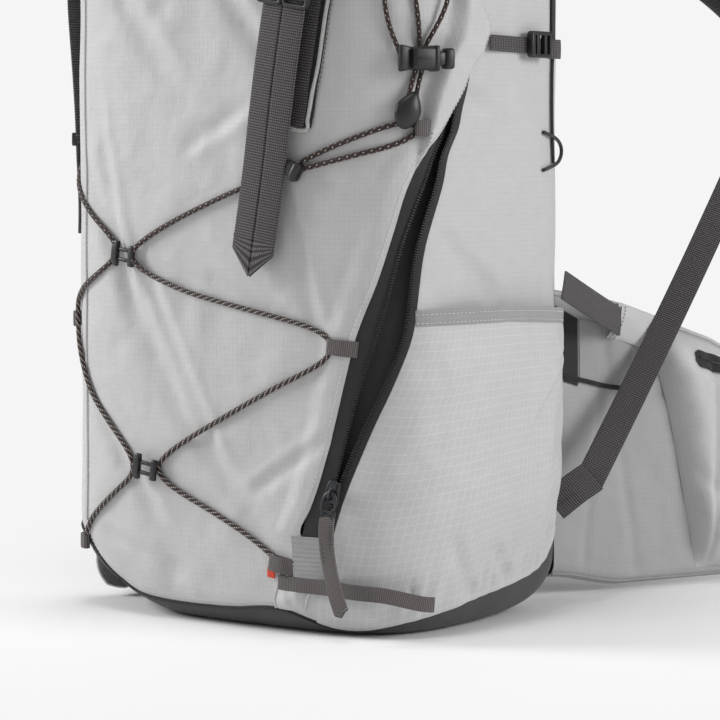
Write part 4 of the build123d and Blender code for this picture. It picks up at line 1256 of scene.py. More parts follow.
def lace_fittings():
    """Cord hooks where the laces cross, and the knot cover at their upper end."""
    parts = []
    for angle, z, lean in ((-34, 237, -8), (-25.4, 99, -8)):
        seat = seat_frame(angle, z, 4.2, lean)
        for x, width, length in ((-3.5, 4.6, 17), (11, 4.6, 14)):
            parts.append(place(moulded_block((width, length, 3.4), (x, 0, 1.2), 1.2), seat))
        for y in (-3.3, 3.3):
            parts.append(place(moulded_block((13, 2.6, 2.8), (3.6, y, 1.3), 0.9), seat))
        parts.append(place(moulded_block((5, 12, 1.6), (-3.5, 0, 3.0), 0.6), seat))
    moulding("lace_hooks", parts, None, "pack", ("bungee_fittings",))
    shell = moulded_block((11, 14, 7.5), (0, 0, 0), 2.6, 4, (1, 0.75))
    cap = moulded_block((12, 5, 8.2), (0, -4.5, 0), 1.6, 3)
    moulding("lace_joiner", [shell, cap], seat_frame(32.7, 292.8, 5.2, 60), "pack")


def folded_tapes():
    """Folded tape loops that turn the laces, and the long one at the foot."""
    for i, (angle, z, lean, length, side) in enumerate(((62.6, 317.6, 0, 10, 1), (45, 182, -6, 17, 1),
                                                        (29, 44, -10, 15, 1), (-58, 192, 0, 12, -1),
                                                        (-52, 44, 0, 12, -1))):
        seat = seat_frame(angle, z, 2.6 if z > 300 else 0, lean)
        half = length / 2
        line = [(-side * half, 0, 4.2), (-side * (half + 1.2), 0, 3.0), (-side * (half + 0.4), 0, 1.2),
                (-side * (half - 3), 0, 0.7), (side * (half - 2), 0, 0.6), (side * (half + 1), 0, 0.5)]
        line = [(side * (half + 1), 0, 1.2), (side * (half - 3), 0, 2.6), (0, 0, 4.6)] + line
        pts = curve_points(line, 4)
        way = [seat @ (p * MM) / MM for p in pts]
        faces = []
        for k in range(len(pts)):
            run = (pts[min(k + 1, len(pts) - 1)] - pts[max(k - 1, 0)]).normalized()
            faces.append(seat.to_3x3() @ Vector((run.z, 0, -run.x)) * side)
        band(f"tape_loop_{i}", way, 10, 1.1, TAPE, faces, nodes=() if i else ("tape_loops",))
    way = []
    faces = []
    for i in range(41):
        angle = 27.5 + 35.4 * i / 40
        z = 33 - 3.5 * (i / 40) - 6 * smooth(i / 40, 0.7, 1)
        out = 1.6 + 14.5 * smooth(angle, 36, 58)
        way.append(on_bag(angle, z, out))
        faces.append(outward(angle, z)[1])
    band("foot_tape", way, 9.6, 1.4, TAPE, faces)


def cord_lock():
    seat = seat_frame(61.7, 360.4, 8.6)
    barrel = moulded_block((17, 14.5, 10.5), (0, 0, 0), 2.4, 4)
    collar = moulded_block((4, 16, 12), (7.4, 0, 0), 1.6, 3)
    clip = moulded_block((9, 17, 4.6), (-11.5, 0, -1.2), 1.4, 3, (0, 0.8))
    rib = moulded_block((9, 1.4, 12), (-1, 0, 0), 0.5)
    moulding("lock_body", [barrel, collar, clip, rib], seat, "cord_lock", ("cord_lock_body",))
    stem = moulded_block((9, 8.4, 6.4), (10, 0, 0), 1.2, 3)
    head = moulded_block((6.5, 13, 9), (17, 0, 0), 2.0, 4)
    moulding("lock_button", [stem, head], seat, "cord_lock_push", ("cord_lock_button",))
    clear_selection()
    bpy.ops.mesh.primitive_uv_sphere_add(segments=32, ring_count=20, radius=1)
    grip = bpy.context.object
    for vertex in grip.data.vertices:
        co = vertex.co
        pinch = 1 - 0.36 * smooth(co.y, 0.0, 1.0) - 0.1 * smooth(-co.y, 0.4, 1.0)
        vertex.co = (co.x * 8.4 * pinch * MM, (co.y * 12.2 - 1) * MM, co.z * 4.4 * (0.75 + 0.25 * pinch) * MM)
    moulding("cord_grip", [grip], seat_frame(58.9, 329.6, 6.6, -22), "pack", ("cord_end_grip",))


# ---- front and side webbing ----
STRAP_TOP = Vector((69.3, -118.6, 394))
STRAP_TILT = math.radians(9.4)
STRAP_UP = Vector((math.sin(STRAP_TILT), 0, math.cos(STRAP_TILT)))
STRAP_ACROSS = Vector((math.cos(STRAP_TILT), 0, -math.sin(STRAP_TILT)))


def front_strap():
    """Two webbings side by side, their ends folded to a point, below the lid."""
    down = -STRAP_UP
    wide = STRAP_ACROSS
    top = STRAP_TOP
    parts = []
    for side in (-1, 1):
        way = []
        faces = []
        for s in steps(-6, 162, 40):
            lift = 1.0 * math.sin(s / 30) + 1.5 * smooth(s, 90, 156)
            way.append(top + down * s + wide * (side * 8.5) + Vector((0, -lift, 0)))
            faces.append((side * 0.06, -1, 0.04 * math.cos(s / 30)))
        piece = band(f"strap_half_{letter(side)}", way, 16.2, 1.7, WEBBING, faces, "front_strap",
                     ("strap_tail",) if side < 0 else ())
        for vertex in piece.data.vertices:
            co = vertex.co / MM - top
            s = co.dot(down)
            x = co.dot(wide)
            if s > 150:
                limit = 156 + 16 * (1 - abs(x) / 16)
                share = (s - 150) / 6
                s = 150 + (limit - 150) * min(share, 1)
                vertex.co = (top + down * s + wide * x + Vector((0, co.y, 0))) * MM
        parts.append(piece)
    for k, (a, b) in enumerate((((-15, 153), (-0.8, 168)), ((15, 153), (0.8, 168)), ((-15, 148), (-15, 153)),
                                ((15, 148), (15, 153)))):
        line = []
        for i in range(12):
            t = i / 11
            x = a[0] + (b[0] - a[0]) * t
            s = a[1] + (b[1] - a[1]) * t - 2.2
            line.append(top + down * s + wide * x * 0.92 + Vector((0, -4.0, 0)))
        stitches(f"strap_tip_thread_{k}", line, (0, -1, 0), 1.8, 0.8, DARK_THREAD, "front_strap")


def ladder_lock(name, seat, width, length, body, nodes=()):
    """Adjuster with a raised grip bar and two cross bars."""
    frame_part = ring_bar((width, length), (width - 5.2, length - 5.2), 4.2, 0.9,
                          ((length * 0.16, 3.4, 0.4), (-length * 0.2, 3.0, 0.2)))
    lip = moulded_block((width - 2, 4.2, 3.0), (0, length / 2 - 1.4, 1.8), 1.2, 3)
    moulding(name, [frame_part, lip], seat, body, nodes)


def front_locks():
    for side in (-1, 1):
        at = STRAP_TOP + STRAP_UP * 9.6 + STRAP_ACROSS * (side * 10.5) + Vector((0, -1.4, 0))
        ladder_lock(f"front_lock_{letter(side)}", plane_frame(at, STRAP_ACROSS, (0, -1, 0)), 20.5, 21, "lid",
                    ("front_ladder_locks",) if side < 0 else ())
        x = 69.5 + side * 10.5
        way = curve_points([(x - 2.4, -120.6, 409), (x - 1.2, -122.6, 419), (x, -124.2, 430),
                            (x, -124.4, 448), (x, -124.0, 466), (x, -122.6, 480)], 4)
        band(f"lid_strap_{letter(side)}", way, 15, 1.5, WEBBING, [(0, -1, 0.1)] * len(way), "lid",
             ("lid_webbing",) if side < 0 else ())


def front_anchor():
    """Short webbing beside the strap, in its dark slot with pale piping."""
    way = []
    slot_way = []
    pipe = []
    faces = []
    for z in steps(319, 100, 30):
        x = 71.6 + 12.4 * (z - 319) / 80
        angle = math.degrees(math.atan2(x, HALF_DEPTH * (1 - (abs(x) / HALF_WIDTH) ** 4) ** 0.25))
        faces.append(outward(angle, z)[1])
        way.append(on_bag(angle, z, 2.4))
        gap = 1.4 + 2.6 * smooth(z, 319, 362) + 2.4 * smooth(z, 385, 425)
        slot_way.append(aside(angle, z, 2.6 + gap * 0.5, 1.2))
        pipe.append(aside(angle, z, 7.4 + gap, 1.9))
    band("strap_slot", slot_way, 17, 0.5, BINDING, faces)
    band("strap_anchor", way, 14.5, 1.5, WEBBING, faces, nodes=("strap_anchor_webbing",))
    ending = [way[0] + Vector((-7.4, -0.6, 1.5)), way[0] + Vector((-1, -0.4, -1.6)),
              pipe[0] + Vector((0, 0, -2.4))]
    tube("strap_slot_piping", [p * MM for p in curve_points(ending + pipe[1:], 3)], 1.35, PIPING, sides=10)
    row = [p + Vector((2.9, 0.8, 0)) for p in pipe]
    stitches("strap_slot_thread", row, faces, 2.0, 1.0, DARK_THREAD)
    for k, s in enumerate((-4, 4)):
        line = [p + Vector((s, -1.05, 0)) for p in way[20:28]]
        stitches(f"anchor_box_{k}", line, faces[20:28], 1.8, 0.7, DARK_THREAD)
    for k, row in enumerate((20, 24, 27)):
        cross = [way[row] + Vector((s, -1.1, 0)) for s in range(-5, 6)]
        stitches(f"anchor_bar_{k}", cross, (0, -1, 0), 1.8, 0.5, DARK_THREAD)


SIDE_STRAP_HEIGHT = 372


def side_straps():
    """Thin compression webbing with its adjuster on each side, below the lid."""
    for sign, side in ((1, "right"), (-1, "left")):
        way = []
        faces = []
        for y in steps(-12, 92, 30):
            angle = math.degrees(math.atan2(HALF_WIDTH * (1 - (abs(y) / HALF_DEPTH) ** 4) ** 0.25, -y))
            p = on_bag(angle, SIDE_STRAP_HEIGHT - 0.02 * (y + 10), 1.2 + 3.6 * near(y, 36, 16))
            n = outward(angle, SIDE_STRAP_HEIGHT)[1]
            way.append(on_side(p, sign))
            faces.append(Vector((n.x * sign, n.y, 0)))
        band(f"side_strap_{side}", way, 10, 1.4, WEBBING, faces,
             nodes=("compression_straps",) if sign > 0 else ())
        at = on_bag(angle_of(Vector((149, 36, 0))), SIDE_STRAP_HEIGHT, 6.6)
        seat = plane_frame(on_side(at, sign), (0, 0, 1), (sign, 0, 0))
        ladder_lock(f"side_lock_{side}", seat, 17, 24, "pack",
                    ("compression_ladder_locks",) if sign > 0 else ())


def hanging_tails():
    """Webbing tails that hang down the left front corner from the lid."""
    def drop(name, route, width, nodes=()):
        way = curve_points([on_bag(*spot) for spot in route], 5)
        faces = [outward(angle_of(p), 300)[1] for p in way]
        band(name, way, width, 1.5, WEBBING, faces, nodes=nodes)
    drop("tail_long", [(-66, 436, 12.6), (-66, 400, 12), (-66, 360, 9), (-65, 325, 5), (-66, 300, 5.4),
                       (-66, 270, 4.6), (-65.5, 248, 4.2)], 15, ("side_tail_webbing",))
    drop("tail_short", [(-71, 434, 14.5), (-70.5, 395, 14), (-69, 350, 10.5), (-67, 318, 7.4),
                        (-67, 296, 7.6)], 10)
    at = on_bag(-66, 312, 6.4)
    n = outward(-66, 312)[1]
    moulding("tail_keeper", [ring_bar((19, 9), (15.6, 5.6), 3.4, 0.9)], plane_frame(at, (-n.y, n.x, 0), n),
             "pack")


def tab_face(sign):
    """Way that the webbing tab of a back corner faces."""
    return Vector((0.69 * sign, -0.43, 0.58))


def corner_tabs():
    """Folded webbing tabs on the bottom back corners, where the shoulder webbing ends."""
    for sign, side in ((1, "right"), (-1, "left")):
        foot = on_bag(122.5, 69, 0.4)
        tip = Vector((146, 113, 86))
        way = curve_points([foot + (foot - tip) * 0.02, foot.lerp(tip, 0.08),
                            foot.lerp(tip, 0.5) + Vector((1, -1, 1)), tip], 5)
        way = [on_side(p, sign) for p in way]
        band(f"corner_tab_{side}", way, 22, 3.4, WEBBING, [tab_face(sign)] * len(way),
             nodes=("webbing_anchor_tabs",) if sign > 0 else ())
        for k in (-1, 1):
            row = [p + tab_face(sign) * 2.0 + Vector((0.0, 0.5, 0.6)) * (k * 7) for p in way[3:14]]
            stitches(f"corner_tab_thread_{side}_{letter(k)}", row, tab_face(sign), 1.8, 0.8,
                     DARK_THREAD)


HAUL_HALF = 45
HAUL_HEIGHT = 406


def haul_handle():
    way = []
    for i in range(31):
        t = math.pi * i / 30
        way.append(Vector((HAUL_HALF * math.cos(t), HALF_DEPTH + 1.5 + 24 * math.sin(t) ** 0.8,
                           HAUL_HEIGHT + 3 * math.sin(t))))
    faces = [Vector((math.cos(math.pi * i / 30) * 0.8, math.sin(math.pi * i / 30) + 0.1, 0))
             for i in range(31)]
    band("haul_webbing", way, 20, 2.4, WEBBING, faces, nodes=("haul_loop",))
    for sign in (-1, 1):
        patch = [Vector((sign * (HAUL_HALF + s), HALF_DEPTH + 1.4 - s * 0.05, HAUL_HEIGHT))
                 for s in range(-4, 14, 3)]
        band(f"haul_patch_{letter(sign)}", patch, 21, 1.6, WEBBING, [(0, 1, 0)] * len(patch))
    strip = [Vector((x, 115, 442)) for x in range(-44, 45, 8)]
    band("lid_seam_strip", strip, 8, 2, BINDING, [(0, 1, 0)] * len(strip))


REAR_CORNER = 114


def back_corner():
    """Mesh binding above the side strap, and the thin cord that runs down to its loop."""
    for sign, side in ((1, "right"), (-1, "left")):
        way = []
        faces = []
        for z in range(374, 436, 4):
            p = on_bag(REAR_CORNER, z, 1.0)
            n = outward(REAR_CORNER, z)[1]
            way.append(Vector((p.x * sign, p.y, z)))
            faces.append(Vector((n.x * sign, n.y, 0)))
        band(f"corner_binding_{side}", way, 7, 1.4, BINDING, faces)
        line = []
        for z in range(296, 368, 4):
            p = on_bag(REAR_CORNER + 0.8 * math.sin(z * 0.05), z, 1.5)
            line.append(Vector((p.x * sign, p.y, z)))
        tube(f"corner_cord_{side}", [p * MM for p in line], 1.1, THIN_CORD, sides=10)
        p = on_bag(REAR_CORNER, 370, 1.6)
        n = outward(REAR_CORNER, 370)[1]
        tab = [Vector(((p.x + n.x * k) * sign, p.y + n.y * k + s, 370))
               for k, s in ((0, -7), (0.8, 0), (0, 7))]
        band(f"side_strap_anchor_{side}", curve_points(tab, 4), 12.5, 2.2, WEBBING,
             [(n.x * sign, n.y, 0)] * 9)


def front_foot_details():
    """Ribbed panel, pleats, dart and red tag below the front zip."""
    def patch(u, v):
        z = 36 + 27 * v
        angle = turn_of(32.4, z, 22.5 * u - 1.5 * v)
        return on_bag(angle, z, 1.9 + 0.16 * math.sin(v * 60))
    cloth("foot_ribbed_patch", patch, 30, 60, PANEL_GREY, lambda u, v: (u * 0.022, v * 0.027), 0.8,
          inside=(0, 0, 50))
    lines = [[(41.6, 60), (40.6, 50), (38.6, 38), (36.5, 28), (35.4, 17)],
             [(30.6, 40), (30.0, 33), (30.4, 25), (31.4, 16)], [(27.0, 30), (26.0, 23), (26.4, 16)]]
    for k, marks in enumerate(lines):
        pts = [on_bag(a, z, 0.8) for a, z in marks]
        way = curve_points(pts, 6)
        tube(f"foot_pleat_{k}", [p * MM for p in way], 1.0, SHELL, sides=8)

    def bulge(u, v):
        z = 15 + 15 * v
        angle = 26.0 + 9.5 * u
        full = math.sin(math.pi * u) ** 0.8 * math.sin(math.pi * min(v, 1)) ** 0.6
        return on_bag(angle, z, 0.3 + 3.2 * full + 0.5 * full * math.sin(u * 14 + v * 5))
    cloth("foot_dart", bulge, 40, 30, SHELL, lambda u, v: (u * 0.02, v * 0.02), 0.7, inside=(0, 0, 50))
    p = on_bag(25.0, 38.5, 1.4)
    tag = [p + Vector((0, 0, 3.4)), p + Vector((0.3, -0.6, 0)), p + Vector((0, 0, -3.4))]
    band("side_tag", curve_points(tag, 3), 6, 0.8, RED_TAG, [(0, -1, 0)] * 7)


# ---- lid ----
LID_ZIP_HEIGHT = 500
LID_RINGS = [(428, 10, 1), (430, 11.5, 1), (440, 12, 1), (455, 12.5, 1), (470, 12.8, 1), (484, 12.2, 1),
             (495, 10.8, 1), (503, 9.2, 1), (510, 7.6, 1), (514, 6.4, 1), (522, 2, 1), (530, -5, 1),
             (537, -14, 1), (542.5, -26, 1), (546, -40, 1), (548.4, -40, 0.8), (550, -40, 0.55),
             (551, -40, 0.3), (551.4, -40, 0.02)]


def lid_spot(turn, t):
    """Point of the padded lid; turn in degrees, t from the skirt's hem to the crown."""
    k = t * (len(LID_RINGS) - 1)
    i = min(int(k), len(LID_RINGS) - 2)
    f = k - i
    z, grow, share = [a + (b - a) * f for a, b in zip(LID_RINGS[i], LID_RINGS[i + 1])]
    if abs(abs(turn) - 180) < 62:
        z = max(z, 444)
    a = HALF_WIDTH + grow
    b = HALF_DEPTH + grow
    s = math.sin(math.radians(turn))
    c = -math.cos(math.radians(turn))
    r = ((abs(s) / a) ** 4 + (abs(c) / b) ** 4) ** -0.25 * share
    way = Vector((s, c, 0))
    sag = 2.4 * noise.noise(Vector((s * 2.2, c * 2.2, z * 0.03))) + 1.2 * noise.noise(
        Vector((s * 6, c * 6, z * 0.06)))
    crown = smooth(t, 0.75, 1.0)
    if t < 0.6:
        sag = -abs(sag) * smooth(t, 0.0, 0.1) * 0.9
    z += crown * 2.0 * noise.noise(Vector((s * share * 1.5, c * share * 1.5, 4.0)))
    return Vector((way.x * (r + sag * (1 - crown)), way.y * (r + sag * (1 - crown)), z))


def lid():
    cloth("lid_cloth", lambda u, v: lid_spot(-180 + 360 * u, v), 180, 70, SHELL,
          lambda u, v: (round_length(-180 + 360 * u) * MM, v * 0.22), 2.0, True, body="lid",
          nodes=("lid_cover",), inside=(0, 0, 440))
    n_rings = len(LID_RINGS) - 1
    for name, row, mat in (("lid_edge_piping", 9 / n_rings, BINDING),
                           ("lid_hem_piping", 0.6 / n_rings, BINDING)):
        way = [lid_spot(turn, row) * MM for turn in steps(-180, 360, 241)]
        tube(name, way, 1.3, mat, body="lid", sides=8)
    way = []
    faces = []
    for turn in steps(-39, 78, 61):
        p = lid_spot(turn, 7 / n_rings)
        way.append(Vector((p.x, p.y - 0.4, LID_ZIP_HEIGHT)))
        faces.append(Vector((p.x * 0.0005, -1, 0.1)))
    band("lid_zip_band", way, 13, 1.2, ZIP_TAPE, faces, "lid", ("lid_zip",))
    tube("lid_zip_coil", [(p + Vector((0, -0.9, 0))) * MM for p in way], 1.0, PLASTIC, body="lid",
         sides=8)
    for lift in (-8.2, 8.2):
        row = [p + Vector((0, 0.2, lift)) for p in way]
        stitches(f"lid_zip_thread_{letter(lift)}", row, faces, body="lid")
    body = moulded_block((11, 7.6, 3), (78, 0, 1.2), 1.0)
    pull = moulded_block((20, 5, 1.6), (64, -1.0, 3.6), 0.6)
    moulding("lid_slider_metal", [body, pull],
             plane_frame((0, -121.4, LID_ZIP_HEIGHT), (1, 0, 0), (0, -1, 0)), "lid_slider",
             ("lid_zip_slider",), METAL)
    cloth("collar_cloth", collar_face, 150, 30, PANEL_GREY, lambda u, v: (u * 0.9, v * 0.06), 1.2, True,
          nodes=("collar",))
    rim = [collar_face(i / 200, 1) * MM for i in range(201)]
    tube("collar_hem", rim, 2.2, PANEL_GREY, sides=10)


def collar_face(u, v):
    """Gathered collar inside the lid."""
    turn = -180 + 360 * u
    point, n = outward(turn, 440)
    gather = 1.6 * math.sin(u * 2 * math.pi * 26) * smooth(v, 0, 1)
    return point + Vector((0, 0, v * 28)) - n * (2 + 20 * v + gather)


# ---- padded pieces ----
def pad(name, centre, widths_at, thick_at, face_at, wide_at, along, mat, body, nodes=(), around=40,
        power=5, flat_length=0.3):
    """Long foam pad: rounded section swept along its middle line, closed and rounded at both ends."""
    def spot(u, v):
        turn = 2 * math.pi * u
        c = math.cos(turn)
        s = math.sin(turn)
        end = min(v, 1 - v) / 0.035
        close = math.sqrt(max(1 - (1 - min(end, 1)) ** 2, 0.0))
        x = math.copysign(abs(c) ** (2 / power), c) * widths_at(v) / 2 * (0.82 + 0.18 * close)
        y = math.copysign(abs(s) ** (2 / power), s) * thick_at(v) / 2 * close
        crown = 0.85 + 0.15 * math.cos(math.pi / 2 * min(abs(x) / (widths_at(v) / 2 + 0.01), 1))
        return centre(v) + wide_at(v) * x + face_at(v) * y * crown
    middle = centre(0.5)
    obj = cloth(name, spot, around, along, mat, lambda u, v: (u * 0.15, v * flat_length), 0, True, body=body,
                nodes=nodes, inside=tuple(middle))
    close_and_face(obj.data, True)
    return obj


STRAP_WAY = [(61.7, 124.5, 384.8), (56.0, 143.2, 408.2), (52.2, 167.6, 431.7), (56.7, 209.3, 449.8),
             (72.7, 264.0, 453.4), (96.5, 317.4, 443.0), (120.0, 348.7, 416.5), (135.6, 357.6, 389.6),
             (149.0, 356.9, 361.3)]
STRAP_STEPS = curve_points(STRAP_WAY, 10)
STRAP_WIDE = Vector((0.858, -0.279, 0.4305))


def strap_at(v, sign):
    way = STRAP_STEPS
    k = v * (len(way) - 1)
    i = min(int(k), len(way) - 2)
    p = way[i].lerp(way[i + 1], k - i)
    run = (way[i + 1] - way[i]).normalized()
    wide = (STRAP_WIDE - run * STRAP_WIDE.dot(run)).normalized()
    face = wide.cross(run).normalized()
    return on_side(p, sign), on_side(wide, sign), on_side(face, sign)


def shoulder_straps():
    for sign, side in ((1, "right"), (-1, "left")):
        body = f"shoulder_{side}"

        def width(v):
            return 50 + 9 * math.sin(math.pi * min(v * 1.1, 1)) - 14 * smooth(v, 0.8, 1)
        pad(f"shoulder_pad_{side}", lambda v: strap_at(v, sign)[0], width, lambda v: 12.0,
            lambda v: strap_at(v, sign)[2], lambda v: strap_at(v, sign)[1], 110, MESH, body,
            (f"shoulder_strap_{side}",), 44, 4.5, 0.33)
        out = 1 if strap_at(0.5, sign)[2].z > 0 else -1
        way = []
        faces = []
        for v in steps(0.05, 0.9, 60):
            p, wide, face = strap_at(v, sign)
            way.append(p + face * out * 6.4)
            faces.append(face * out)
        band(f"shoulder_cover_{side}", way, 34, 0.9, SHELL, faces, body)
        lift = [p + f * 1.2 for p, f in zip(way, faces)]
        band(f"shoulder_tape_{side}", lift, 12, 1.3, WEBBING, faces, body)
        for shift in (-15.5, 15.5):
            row = []
            for v in steps(0.05, 0.9, 60):
                p, wide, face = strap_at(v, sign)
                row.append(p + face * out * 7.0 + wide * shift)
            stitches(f"shoulder_thread_{side}_{letter(shift)}", row, faces, 2.4, 1.0, THREAD, body)
        for shift in (-1, 1):
            edge = []
            for v in steps(0.02, 0.96, 80):
                p, wide, face = strap_at(v, sign)
                edge.append((p + wide * shift * (width(v) / 2 - 0.4)) * MM)
            tube(f"shoulder_edge_{side}_{letter(shift)}", edge, 1.8, BINDING, body, (), 10)
        end = Vector((149 * sign, 356.9, 361.3))
        anchor = Vector((145 * sign, 112, 84))
        run = (anchor - end).normalized()
        face = tab_face(sign)
        face = (face - run * face.dot(run)).normalized()
        lock_at = end + run * 18
        ladder_lock(f"shoulder_lock_{side}", plane_frame(lock_at, run.cross(face), face), 27, 25, body,
                    (f"strap_ladder_lock_{side}",))
        start = end + run * 12
        shares = [i / 40 for i in range(41)]
        points = [start.lerp(anchor, t) + Vector((0, 0, -5)) * math.sin(math.pi * t) for t in shares]
        faces = [face + run.cross(face) * 0.25 * math.sin(t * math.pi) * sign for t in shares]
        band(f"shoulder_web_{side}", points, 19.5, 1.5, WEBBING, faces, body,
             (f"shoulder_webbing_{side}",))
        tail_from = end + run * 26 + face * 4
        tail = curve_points([tail_from, tail_from + Vector((6 * sign, 10, -20)),
                             tail_from + Vector((9 * sign, 20, -44)),
                             tail_from + Vector((9 * sign, 26, -66))], 7)
        band(f"shoulder_tail_{side}", tail, 19, 1.4, WEBBING, [face] * len(tail), body)
        top = Vector((56 * sign, 114.2, 432))
        hold = Vector((47.3 * sign, 190.2, 457.0))
        lifter = curve_points([top, top.lerp(hold, 0.5) + Vector((0, 0, -1.5)), hold], 8)
        band(f"load_lifter_web_{side}", lifter, 15, 1.5, WEBBING, [(0.4 * sign, 0.1, 0.9)] * len(lifter),
             body, (f"load_lifter_{side}",))
        ladder_lock(f"load_lifter_lock_{side}", plane_frame(top.lerp(hold, 0.68) + Vector((0, 0, 2.2)),
                                                            (1, 0, 0), (0.4 * sign, 0.1, 0.9)), 19, 20, body)
    sternum()


def sternum():
    for sign, side in ((1, "right"), (-1, "left")):
        body = f"sternum_{side}"
        origin = Vector((138.4 * sign, 363.9, 387.1)) + Vector((0.186 * sign, 0.951, 0.246)) * 1.2
        seat = plane_frame(origin, (0.858, -0.279 * sign, 0.4305 * sign), (0.186 * sign, 0.951, 0.246))
        clip = ring_bar((27, 14), (20, 7), 3.6, 0.9, ((0, 3.0, 0.6),))
        moulding(f"sternum_clip_{side}", [clip], seat, body, (f"sternum_slider_{side}",))
        x = 132.4 * sign
        way = curve_points([(x + 2 * sign, 371.2, 386), (x, 373.6, 376), (x, 374.8, 362), (x, 374.5, 346),
                            (x, 374.4, 334), (x, 374.6, 322)], 6)
        band(f"sternum_web_{side}", way, 15, 1.4, WEBBING, [(0, 1, 0)] * len(way), body,
             (f"sternum_webbing_{side}",))
        if sign > 0:
            shell = moulded_block((22, 22, 8), (0, 0, 0), 2.4, 4)
            mouth = moulded_block((25, 5, 9.4), (0, 8.4, 0), 1.6, 3)
            window = moulded_block((14, 8, 1.4), (0, -3, 3.6), 0.5)
            parts = [shell, mouth, window]
            node = "sternum_socket"
        else:
            parts = [moulded_block((20, 7, 7), (0, 7, 0), 1.6, 3),
                     moulded_block((5, 18, 3.4), (-6, -4, 0), 1.2),
                     moulded_block((5, 18, 3.4), (6, -4, 0), 1.2),
                     moulded_block((3.4, 15, 3), (0, -3, 0), 1.0)]
            node = "sternum_plug"
        moulding(node + "_moulding", parts, plane_frame((x, 374.6, 310), (-sign, 0, 0), (0, 1, 0)), body,
                 (node,))


COLUMN_ASIDE = 56
COLUMN_FOOT = 152
COLUMN_LENGTH = 218


def back_padding():
    for sign in (-1, 1):
        def centre(v):
            z = COLUMN_FOOT + COLUMN_LENGTH * v
            return Vector((sign * COLUMN_ASIDE, outward(180 - sign * 28, z)[0].y + 6.2, z))
        pad(f"back_column_{letter(sign)}", centre, lambda v: 76 - 4 * math.cos(v * 6), lambda v: 11.5,
            lambda v: Vector((0, 1, 0)), lambda v: Vector((1, 0, 0)), 70, MESH, "pack",
            ("back_pad",) if sign < 0 else (), 44, 5, 0.22)
        for k in (1, 2, 3):
            z = COLUMN_FOOT + COLUMN_LENGTH * k / 4
            row = [Vector((sign * (COLUMN_ASIDE + x), 124.0 - 0.0009 * abs(x) ** 2, z))
                   for x in range(-34, 35, 4)]
            tube(f"back_groove_{letter(sign)}_{k}", [p * MM for p in row], 1.0, BINDING, "pack",
                 (), 8)

    def lumbar(v):
        z = 43 + 98 * v
        return Vector((0, 118.6 - 1.5 * abs(v - 0.5), z))
    pad("lumbar_cushion", lumbar, lambda v: 188, lambda v: 13.5, lambda v: Vector((0, 1, 0)),
        lambda v: Vector((1, 0, 0)), 50, MESH, "pack", ("lumbar_pad",), 80, 6, 0.1)


# ---- hip belt ----
WING_WAY = [(99, 127), (108, 150), (119, 180), (132, 214), (147, 252), (164, 296), (178, 332)]
WING_STEPS = curve_points([(x, y, 0) for x, y in WING_WAY], 10)


def wing_at(v, sign):
    way = WING_STEPS
    k = v * (len(way) - 1)
    i = min(int(k), len(way) - 2)
    p = way[i].lerp(way[i + 1], k - i)
    run = (way[i + 1] - way[i]).normalized()
    return on_side(p, sign), on_side(Vector((run.y, -run.x, 0)), sign)


def wing_spot(y, z, off, sign):
    """Point off millimetres outside the wing's middle line, and the way outwards."""
    k = min(max(sum(1 for p in WING_STEPS if p.y <= y) - 1, 0), len(WING_STEPS) - 2)
    a = WING_STEPS[k]
    b = WING_STEPS[k + 1]
    run = (b - a).normalized()
    p = a + run * ((y - a.y) / max(run.y, 0.1))
    out = Vector((run.y, -run.x, 0))
    p += out * off
    return Vector((p.x * sign, p.y, z)), on_side(out, sign)


def wing_heights(y):
    marks = [(120, 212), (150, 207), (180, 201), (214, 189), (252, 175), (296, 153), (340, 130)]
    top = marks[-1][1]
    for (y0, z0), (y1, z1) in zip(marks, marks[1:]):
        if y <= y1:
            top = z0 + (z1 - z0) * max(y - y0, 0) / (y1 - y0)
            break
    low = 13 - 9 * smooth(y, 127, 185) + 40 * smooth(y, 285, 340)
    return low, top


def cover_spot(y, v, sign, lift=0.0):
    """Face of the belt's outer cloth at a place along it and a share of its height."""
    low, top = wing_heights(y)
    z = low + (top - low) * v
    edge = min(v, 1 - v) * (top - low)
    crown = 8.6 * math.sqrt(max(1 - (1 - min(edge / 9, 1)) ** 2, 0))
    full = smooth(edge, 0, 14)
    fold = 1.5 * noise.noise(Vector((y * 0.035, z * 0.03, 2.0 * sign)))
    fold -= 1.6 * near(y + z * 0.16, 196, 4.5) + 1.2 * near(y - z * 0.1, 150, 3.5)
    fold -= 1.2 * near(z - 0.35 * y, 60, 4.0) * smooth(y, 150, 170)
    return wing_spot(y, z, crown + lift + fold * full, sign)


BELT_ROOT = 128
BELT_REACH = 202


